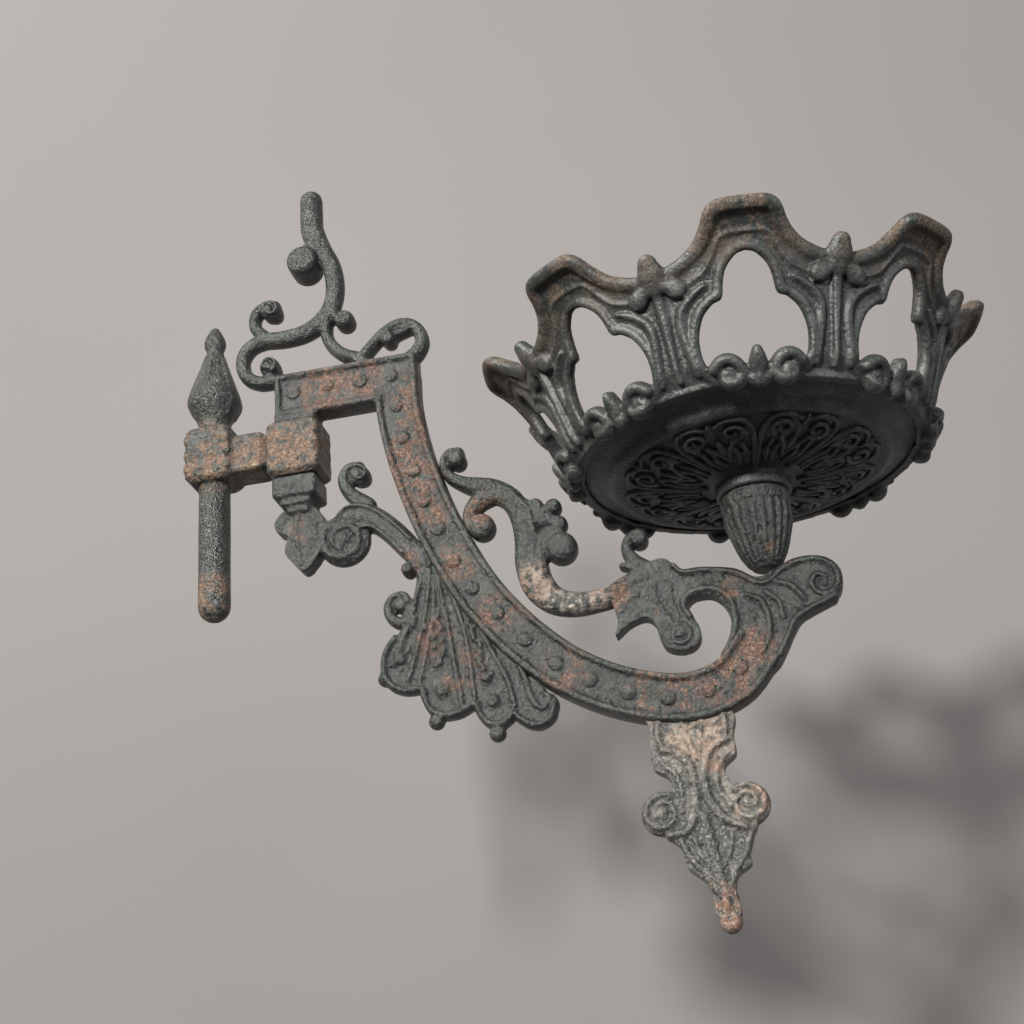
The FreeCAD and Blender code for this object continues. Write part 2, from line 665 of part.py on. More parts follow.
# one bay: the keyhole opening, drawn from the front of the wall
foot_half = size("bay_foot_width") / 2
neck_half = size("bay_neck_width") / 2
bay = cup.newObject("Sketcher::SketchObject", "bay_opening")
bay.AttachmentSupport = (origin_part(cup, "XZ_Plane"), [""])
bay.MapMode = "FlatFace"
bay_depth = dish_r - cup_wall - 3.0
bay.AttachmentOffset = FreeCAD.Placement(V(0, 0, bay_depth), FreeCAD.Rotation())
bay_low = dish_edge - 0.04 * tall
cusp_level = dish_edge + 0.49 * tall
apex_level = dish_edge + 0.79 * tall
right_side = [(0.62 * foot_half, bay_low), (0.86 * foot_half, dish_edge), (foot_half, dish_edge + 0.2 * tall),
              (0.93 * foot_half, dish_edge + 0.36 * tall), (neck_half * 1.3, cusp_level - 0.035 * tall),
              (neck_half, cusp_level)]
arch = [(neck_half, cusp_level), (0.96 * neck_half, cusp_level + 0.12 * tall),
        (0.6 * neck_half, cusp_level + 0.24 * tall), (0, apex_level)]
mirror = [(-x, z) for x, z in right_side]
arch_all = arch + [(-x, z) for x, z in arch[-2::-1]]
draw(bay, [
    line((-right_side[0][0], bay_low), right_side[0]),
    *flat_path(right_side),
    *flat_path(arch_all),
    *flat_path(mirror[::-1]),
])
opening = cup.newObject("PartDesign::Pocket", "bay_pocket")
opening.Profile = bay
opening.Type = 1
opening.Reversed = True
doc.recompute()
opening_volume = cup.Shape.Volume
if not opening_volume < shell_volume:
    raise RuntimeError("bay opening cuts nothing")

bays = cup.newObject("PartDesign::PolarPattern", "bay_ring")
bays.Originals = [opening]
bays.Axis = (origin_part(cup, "Z_Axis"), [""])
bays.Angle = 360.0
bays.setExpression("Occurrences", "sizes.bay_count")
cup.Tip = bays
doc.recompute()

# one dip in the rim, between two bays
dip = cup.newObject("Sketcher::SketchObject", "rim_dip")
dip.AttachmentSupport = (origin_part(cup, "XZ_Plane"), [""])
dip.MapMode = "FlatFace"
half_bay = 180.0 / size("bay_count")
dip.AttachmentOffset = FreeCAD.Placement(V(0, 0, 0), FreeCAD.Rotation(V(0, 1, 0), half_bay))
dip_half = gallery_r * math.sin(math.radians(half_bay - 6.3))
dip_low = dish_edge + 0.72 * tall
dip_points = [(-dip_half - 1.2, gallery_top + 4), (-dip_half, gallery_top - 0.3), (-0.62 * dip_half, dip_low + 0.13 * tall),
              (0, dip_low), (0.62 * dip_half, dip_low + 0.13 * tall), (dip_half, gallery_top - 0.3),
              (dip_half + 1.2, gallery_top + 4)]
draw(dip, [*flat_path(dip_points), line(dip_points[-1], dip_points[0])])
dips = cup.newObject("PartDesign::Pocket", "dip_pocket")
dips.Profile = dip
dips.Type = 1
dips.Reversed = True
doc.recompute()
if not cup.Shape.Volume < opening_volume:
    raise RuntimeError("rim dip cuts nothing")
dip_ring = cup.newObject("PartDesign::PolarPattern", "dip_ring")
dip_ring.Originals = [dips]
dip_ring.Axis = (origin_part(cup, "Z_Axis"), [""])
dip_ring.Angle = 360.0
dip_ring.setExpression("Occurrences", "sizes.bay_count")
cup.Tip = dip_ring


def front_plane(sketch, turn, depth):
    """Puts a sketch across the cup's radius, turned from the first bay's middle."""
    spin = FreeCAD.Rotation(V(0, 1, 0), turn)
    sketch.AttachmentSupport = (origin_part(cup, "XZ_Plane"), [""])
    sketch.MapMode = "FlatFace"
    sketch.AttachmentOffset = FreeCAD.Placement(spin.multVec(V(0, 0, depth)), spin)


def raised(name, half_outline, turn, depth, rise):
    """A relief that stands on the wall at every bay or post; half_outline is its right half."""
    outline_sketch = cup.newObject("Sketcher::SketchObject", name + "_outline")
    front_plane(outline_sketch, turn, depth)
    loop = half_outline + [(-x, z) for x, z in half_outline[::-1] if x > 0]
    draw(outline_sketch, flat_path(loop + [loop[0]]))
    pad = cup.newObject("PartDesign::Pad", name)
    pad.Profile = outline_sketch
    pad.Length = rise
    doc.recompute()
    ring = cup.newObject("PartDesign::PolarPattern", name + "_ring")
    ring.Originals = [pad]
    ring.Axis = (origin_part(cup, "Z_Axis"), [""])
    ring.Angle = 360.0
    ring.setExpression("Occurrences", "sizes.bay_count")
    cup.Tip = ring
    doc.recompute()


arch_level = dish_edge + 0.6 * tall
raised("post_leaves", [(0, arch_level - 3.8), (2.4, arch_level - 2.8), (5.0, arch_level - 2.4), (7.4, arch_level - 0.6),
                       (7.0, arch_level + 1.8), (4.4, arch_level + 3.0), (0, arch_level + 2.4)],
       half_bay, dish_r + 5.8, 5.8)
raised("post_bud", [(0, arch_level + 2.0), (2.2, arch_level + 2.2), (2.9, arch_level + 5.2), (1.8, arch_level + 7.6),
                    (0, arch_level + 8.8)], half_bay, dish_r + 10.5, 5.0)
raised("bay_foot", [(0, dish_edge - 3.6), (9.4, dish_edge - 3.2), (11.2, dish_edge), (7.6, dish_edge + 2.4),
                    (3.2, dish_edge + 0.8), (0, dish_edge + 2.6)], 0, dish_r - 3.4, 4.3)
cup.setExpression("Placement.Base.x", "sizes.reach")
cup.setExpression("Placement.Rotation.Angle", "sizes.cup_turn * 1deg")
pieces.append(cup)

# ---- cup screw: round head on the dish floor, shank down into the socket ----
screw = doc.addObject("Part::Feature", "cup_screw")
screw.Label = "cup_screw"
head_r = size("screw_head_dia") / 2
head_high = size("screw_head_height")
shank = Part.makeCylinder(screw_r, sink_level - seat_level + size("screw_grip"),
                          V(reach, 0, seat_level - size("screw_grip")))
head = Part.makeCylinder(head_r, head_high, V(reach, 0, sink_level))
slot = Part.makeBox(2 * head_r + 1, 1.2, 1.0, V(reach - head_r - 0.5, -0.6, sink_level + head_high - 1.0))
screw.Shape = fused([shank, head]).cut(slot)
pieces.append(screw)

doc.recompute()

# ---- check every object, then write one file per sub-part ----
for item in doc.Objects:
    if "Invalid" in item.State or "Error" in item.State:
        raise RuntimeError("%s is in state %s" % (item.Name, item.State))
os.makedirs("parts", exist_ok=True)
for piece in pieces:
    shape = piece.Shape
    if shape.isNull() or not shape.isValid():
        raise RuntimeError("%s has no valid shape" % piece.Label)
    print(piece.Label, "solids", len(shape.Solids), "volume %.0f" % shape.Volume,
          "box", [round(v, 1) for v in (shape.BoundBox.XMin, shape.BoundBox.XMax, shape.BoundBox.YMin,
                                        shape.BoundBox.YMax, shape.BoundBox.ZMin, shape.BoundBox.ZMax)])
    shape.exportStep("parts/%s.step" % piece.Label)
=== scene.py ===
import math
import random

import bpy
from mathutils import Matrix, Vector, geometry


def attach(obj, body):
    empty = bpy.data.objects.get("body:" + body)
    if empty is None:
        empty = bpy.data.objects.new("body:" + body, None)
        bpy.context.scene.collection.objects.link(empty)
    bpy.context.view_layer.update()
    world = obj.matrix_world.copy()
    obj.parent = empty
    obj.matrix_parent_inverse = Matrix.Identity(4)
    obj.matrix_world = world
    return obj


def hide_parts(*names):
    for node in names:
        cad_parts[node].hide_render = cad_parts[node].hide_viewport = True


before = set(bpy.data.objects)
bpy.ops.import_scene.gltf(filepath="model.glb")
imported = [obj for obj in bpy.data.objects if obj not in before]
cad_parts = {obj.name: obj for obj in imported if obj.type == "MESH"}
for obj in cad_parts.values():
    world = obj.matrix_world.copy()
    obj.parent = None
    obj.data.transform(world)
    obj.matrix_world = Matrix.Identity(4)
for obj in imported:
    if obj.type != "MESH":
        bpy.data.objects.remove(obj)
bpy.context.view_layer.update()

# Lengths here are in mm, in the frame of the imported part; meshes are written in metres.
mm = 0.001
pivotX, reach = 28.0, 166.0
faceWay = Vector((0, 1, 0))
endAngles = (1.3, 0.9, 0.45)  # a stem's end is rounded off at these, in radians
# shares of a volute's radius, and for its disc and eye of its depth too
voluteForm = {"disc": (0.95, 0.72), "coil": (0.80, 0.34), "band": (0.42, 0.26), "eye": (0.36, 1.06),
              "stepsPerTurn": 12}


# Mesh building: closed forms are gathered in one heap per piece, then melted into one casting.
def heap():
    return {"verts": [], "faces": []}


def addFaces(pile, verts, faces):
    base = len(pile["verts"])
    pile["verts"] += [tuple(v) for v in verts]
    pile["faces"] += [tuple(i + base for i in f) for f in faces]


def tube(rings, around, flip=False):
    # faces of a closed tube made of rings, with its two ends
    faces = []
    for j in range(rings - 1):
        for k in range(around):
            n = (k + 1) % around
            quad = (j * around + k, j * around + n, (j + 1) * around + n, (j + 1) * around + k)
            faces.append((quad[0], *quad[:0:-1]) if flip else quad)
    low, high = tuple(range(around)), tuple(range((rings - 1) * around, rings * around))
    return faces + ([low, high[::-1]] if flip else [low[::-1], high])


def run(stations, step=0.9):
    # a smooth curve through all the numbers of the stations, in short steps
    if len(stations) == 2:
        stations = [stations[0], [(a + b) / 2 for a, b in zip(*stations)], stations[1]]
    rows, count = [], len(stations)
    for i in range(count - 1):
        p1, p2 = stations[i], stations[i + 1]
        p0 = stations[i - 1] if i else [2 * a - b for a, b in zip(p1, p2)]
        p3 = stations[i + 2] if i + 2 < count else [2 * b - a for a, b in zip(p1, p2)]
        parts = max(2, math.ceil(math.dist(p1[:3], p2[:3]) / step))
        for k in range(parts):
            t = k / parts
            rows.append([0.5 * (2 * b + (c - a) * t + (2 * a - 5 * b + 4 * c - d) * t * t
                                + (3 * b - a - 3 * c + d) * t ** 3)
                         for a, b, c, d in zip(p0, p1, p2, p3)])
    rows.append(list(stations[-1]))
    return rows


def sweep(pile, rows, normalAt, square, sides=18):
    # rows: x, y, z, width, depth along the middle line; the section is a rounded box
    ring = []
    for k in range(sides):
        a = 2 * math.pi * k / sides
        c, s = math.cos(a), math.sin(a)
        ring.append((math.copysign(abs(c) ** (2 / square), c), math.copysign(abs(s) ** (2 / square), s)))
    places = [Vector(r[:3]) for r in rows]
    verts, last = [], len(rows) - 1
    for i, row in enumerate(rows):
        along = (places[min(i + 1, last)] - places[max(i - 1, 0)]).normalized()
        up = normalAt(places[i])
        up = (up - along * up.dot(along)).normalized()
        side = along.cross(up)
        ends = [(0.0, 1.0)]
        if i == 0:
            ends = [(-math.sin(f) * row[3] / 2, math.cos(f)) for f in endAngles] + ends
        if i == last:
            ends = ends + [(math.sin(f) * row[3] / 2, math.cos(f)) for f in endAngles[::-1]]
        for shift, scale in ends:
            mid = places[i] + along * shift
            deepScale = 1 - (1 - scale) * 0.6  # an end thins less than it narrows
            verts += [mid + side * (c * row[3] / 2 * scale) + up * (s * row[4] / 2 * deepScale)
                      for c, s in ring]
    addFaces(pile, verts, tube(len(verts) // sides, sides))


def stem(pile, route, deep, square=2.4):
    # route: x, z, width and, where it changes, depth
    stations = [[r[0], 0, r[1], r[2], r[3] if len(r) > 3 else deep] for r in route]
    sweep(pile, run(stations), lambda p: faceWay, square)


def circle(r, around):
    return [(r * math.cos(2 * math.pi * k / around), r * math.sin(2 * math.pi * k / around))
            for k in range(around)]


def lathe(pile, profile, axisX=0, around=64):
    # profile: radius, height from the lowest point on the axis to the highest
    verts = [(axisX + x, y, z) for r, z in profile for x, y in circle(r, around)]
    addFaces(pile, verts, tube(len(profile), around))


def button(pile, x, z, r, deep, square=3, around=28, steps=10):
    # a round boss that shows on both faces of the arm
    verts = []
    for j in range(1, steps):
        f = math.pi * (j / steps - 0.5)
        c, s = math.cos(f), math.sin(f)
        lift = math.copysign(abs(s) ** (2 / square), s) * deep / 2
        verts += [(x + dx, lift, z + dz) for dx, dz in circle(r * abs(c) ** (2 / square), around)]
    addFaces(pile, verts, tube(steps - 1, around, True))


def plate(pile, outline, deep):
    # a flat shape with a smooth outline, through the arm's mid-plane
    full = run([*outline[-2:], *outline, *outline[:3]], 1.0)
    ends = [i for i, p in enumerate(full) if math.dist(p, outline[0]) < 1e-6]
    rim = full[ends[0]:ends[-1]]
    flat = [Vector((x, z, 0)) for x, z in rim]
    count = len(rim)
    verts = [(x, side * deep / 2, z) for side in (-1, 1) for x, z in rim]
    area = sum(flat[i].cross(flat[(i + 1) % count]).z for i in range(count))
    faces = []
    for tri in geometry.tessellate_polygon([flat]):
        a, b, c = (flat[i] for i in tri)
        tri = tri if ((b - a).cross(c - a)).z > 0 else tri[::-1]
        faces += [tuple(tri), tuple(i + count for i in tri[::-1])]
    for i in range(count):
        n = (i + 1) % count
        quad = (i, i + count, n + count, n)
        faces.append(quad if area > 0 else quad[::-1])
    addFaces(pile, verts, faces)


def brick(pile, x0, x1, deepHalf, z0, z1, soft):
    # a box across the mid-plane, with eased edges
    verts = []
    for z, inset in ((z0, soft), (z0 + soft, 0), (z1 - soft, 0), (z1, soft)):
        ax, bx, y = x0 + inset, x1 - inset, deepHalf - inset
        verts += [(ax + soft, -y, z), (bx - soft, -y, z), (bx, soft - y, z), (bx, y - soft, z),
                  (bx - soft, y, z), (ax + soft, y, z), (ax, y - soft, z), (ax, soft - y, z)]
    addFaces(pile, verts, tube(4, 8))


def curl(x, z, radii, start, turns, widths, count, stretch=1):
    # stations of a spiral that winds in to its eye; turns below zero run clockwise
    stations = []
    for i in range(count + 1):
        t = i / count
        a = math.radians(start) + 2 * math.pi * turns * t
        r = radii[0] + (radii[1] - radii[0]) * t
        stations.append((x + r * math.cos(a) * stretch, z + r * math.sin(a),
                         widths[0] + (widths[1] - widths[0]) * t))
    return stations


def volute(pile, x, z, r, deep, start, turns):
    # a coiled end: sunk disc, spiral edge and a proud middle
    disc, coil, band, eye = (voluteForm[k] for k in ("disc", "coil", "band", "eye"))
    button(pile, x, z, r * disc[0], deep * disc[1], 4)
    count = max(6, int(abs(turns) * voluteForm["stepsPerTurn"]))
    stem(pile, curl(x, z, [r * v for v in coil], start, turns, [r * v for v in band], count), deep)
    button(pile, x, z, r * eye[0], deep * eye[1], 2.4)


def addObject(name, data):
    obj = bpy.data.objects.new(name, data)
    bpy.context.scene.collection.objects.link(obj)
    return obj


def bake(obj, word):
    graph = bpy.context.evaluated_depsgraph_get()
    graph.update()
    made = bpy.data.meshes.new_from_object(obj.evaluated_get(graph), depsgraph=graph)
    obj.modifiers.clear()
    made.name = obj.name
    obj.data = made
    made.polygons.foreach_set("use_smooth", [True] * len(made.polygons))
    print(word, obj.name, len(made.polygons))


def cast(name, pile, voxel, body, nodes=(), soften=2, keep=1):
    mesh = bpy.data.meshes.new(name)
    mesh.from_pydata([(x * mm, y * mm, z * mm) for x, y, z in pile["verts"]], [], pile["faces"])
    obj = addObject(name, mesh)
    melt = obj.modifiers.new("melt", "REMESH")
    melt.mode = "VOXEL"
    melt.voxel_size = voxel * mm * 1
    relax = obj.modifiers.new("relax", "SMOOTH")
    relax.factor = 0.5
    relax.iterations = soften
    if keep < 1:
        obj.modifiers.new("thin", "DECIMATE").ratio = keep
    bake(obj, "cast")
    if body:
        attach(obj, body)
    if nodes:
        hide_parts(*nodes)
    return obj


# Stage 1: the wall link. Bricks: x from and to, half depth, z from and to, easing
linkForm = {
    "half": 7.5, "knuckleHalf": 8.5, "voxel": 0.5, "spearRibs": 6, "ribDeep": 1.1,
    "bricks": [(-7.5, 7.5, 7.5, 0, 19, 1.4), (pivotX - 8.5, pivotX + 8.5, 7.5, -2.5, 16.5, 1.4),
               (0, pivotX - 10, 6, 1.5, 14.5, 0.8), (5, pivotX, 5, 2.6, 13.4, 0.8)],
    "bands": (4.4, 9.4, 14.4), "bandHalf": 1.9, "bandProud": 0.35,
    "knuckleBands": (2, 7, 12), "knuckleBandHalf": 1.7,
    "spear": [(0.5, 15), (5.2, 15), (5.2, 22), (6.2, 24.4), (7.6, 26.6), (8.5, 28.6), (8.6, 30.6),
              (8.1, 32.4), (7.2, 35), (5.9, 38.4), (4.7, 42), (3.6, 45.4), (2.9, 48.2), (2.8, 49.6),
              (3.5, 51.4), (3.6, 53), (3.1, 54.8), (2.3, 56.4), (1.5, 58), (0.6, 58.9), (0.1, 58.95)],
    "spearRib": [(6.4, 24.6, 1.2), (8.3, 28.6, 1.8), (8.1, 31.6, 2), (6.4, 37, 1.8), (4.5, 42.6, 1.4),
                 (3, 47.6, 0.9)],
    "pin": [(0.4, -45.4), (2.2, -45), (3.8, -43.8), (4.7, -42.2), (5, -40.4), (4.95, -30), (5, -15),
            (4.95, -4), (5, 0), (5, 3), (0.4, 3)]}
link = heap()
half, knuckleHalf, proud = linkForm["half"], linkForm["knuckleHalf"], linkForm["bandProud"]
for sizes in linkForm["bricks"]:
    brick(link, *sizes)
lathe(link, linkForm["pin"])
lathe(link, linkForm["spear"])
for k in range(linkForm["spearRibs"]):
    a = 2 * math.pi * (k + 0.5) / linkForm["spearRibs"]
    rib = [[r * math.cos(a), r * math.sin(a), z, w, linkForm["ribDeep"]] for r, z, w in linkForm["spearRib"]]
    sweep(link, run(rib), lambda p: Vector((p.x, p.y, 0)).normalized(), square=2.2, sides=12)
thick = linkForm["bandHalf"]
for z in linkForm["bands"]:
    brick(link, -half - proud, half + proud, half + proud, z - thick, z + thick, soft=0.9)
thick = linkForm["knuckleBandHalf"]
for z in linkForm["knuckleBands"]:
    brick(link, pivotX - knuckleHalf, pivotX + knuckleHalf, half, z - thick, z + thick, soft=0.7)
linkPiece = cast("wall_link_casting", link, linkForm["voxel"], "link", ["wall_link"])

# Stage 2: the arm's frame and long curved bar
frameForm = {
    "wide": 14.4, "deep": 9, "floorDeep": 6.6, "edge": 2.7, "left": 21.2, "right": 68.6, "low": 18.9,
    "high": 34.9, "innerEdgeTop": 20.5, "cornerX": 54.6, "floorHalf": 3.3, "footHalf": 4.3, "footLow": 16.9,
    "footPastPivot": 7, "voxel": 0.5,
    "bar": [(61.6, 28), (61.6, 17), (63.2, 5), (66, -7.5), (70.6, -22.5), (76.6, -37.2), (84.4, -52),
            (95.4, -66.3), (108, -77.8), (123, -85.9), (139, -89.6), (152, -86.4), (160.6, -77.6)]}
arm = heap()
stem(arm, [(x, z, frameForm["wide"] - 1) for x, z in frameForm["bar"]], frameForm["floorDeep"], square=5)
edge, deep = frameForm["edge"], frameForm["deep"]
barRows = run([[x, 0, z] for x, z in frameForm["bar"]], 1.2)
for sideWay in (-1, 1):
    rows = []
    for i, p in enumerate(barRows):
        a, b = barRows[max(i - 1, 0)], barRows[min(i + 1, len(barRows) - 1)]
        shift = sideWay * (frameForm["wide"] - edge) / 2 / math.hypot(b[0] - a[0], b[2] - a[2])
        rows.append([p[0] - (b[2] - a[2]) * shift, 0, p[2] + (b[0] - a[0]) * shift, edge, deep])
    if sideWay < 0:
        rows = [r for r in rows if r[2] < frameForm["innerEdgeTop"]]
    sweep(arm, rows, lambda p: faceWay, square=2.8)
left, right, low, high = (frameForm[k] for k in ("left", "right", "low", "high"))
brick(arm, left + 0.5, right - 0.5, frameForm["floorHalf"], low + 0.5, high - 0.5, soft=0.5)
brick(arm, left, pivotX + frameForm["footPastPivot"], frameForm["footHalf"], frameForm["footLow"],
      frameForm["innerEdgeTop"], soft=0.6)
inset = edge / 2
corners = [(left + inset, low + inset), (left + inset, high - inset), (right - inset, high - inset)]
for a, b in ((corners[0], corners[1]), (corners[1], corners[2]), (corners[2], (right - inset, low)),
             (corners[0], (frameForm["cornerX"], low + inset))):
    stem(arm, [(*a, edge), (*b, edge)], deep, square=2.8)
framePiece = cast("arm_frame_casting", arm, frameForm["voxel"], "arm", ["arm_frame"])

# Bosses in the channel, on both faces, as points for a node tree
bossForm = {
    "radius": 2.6, "flatness": 0.52, "spread": 0.14, "seed": 7, "faceY": 3.1,
    "centres": [(27.7, 27.4), (39.1, 28), (49.8, 27.6), (60.2, 27.4), (61.2, 16.2), (62.9, 4.9),
                (65.5, -6.9), (68.3, -17.6), (72.1, -27.5), (76, -38.7), (81.1, -48.3), (88.1, -57.2),
                (95.4, -66.3), (103.7, -74.8), (112.8, -80.9), (123, -86), (133.8, -89.2), (145.2, -88.6),
                (154.5, -83.3)]}

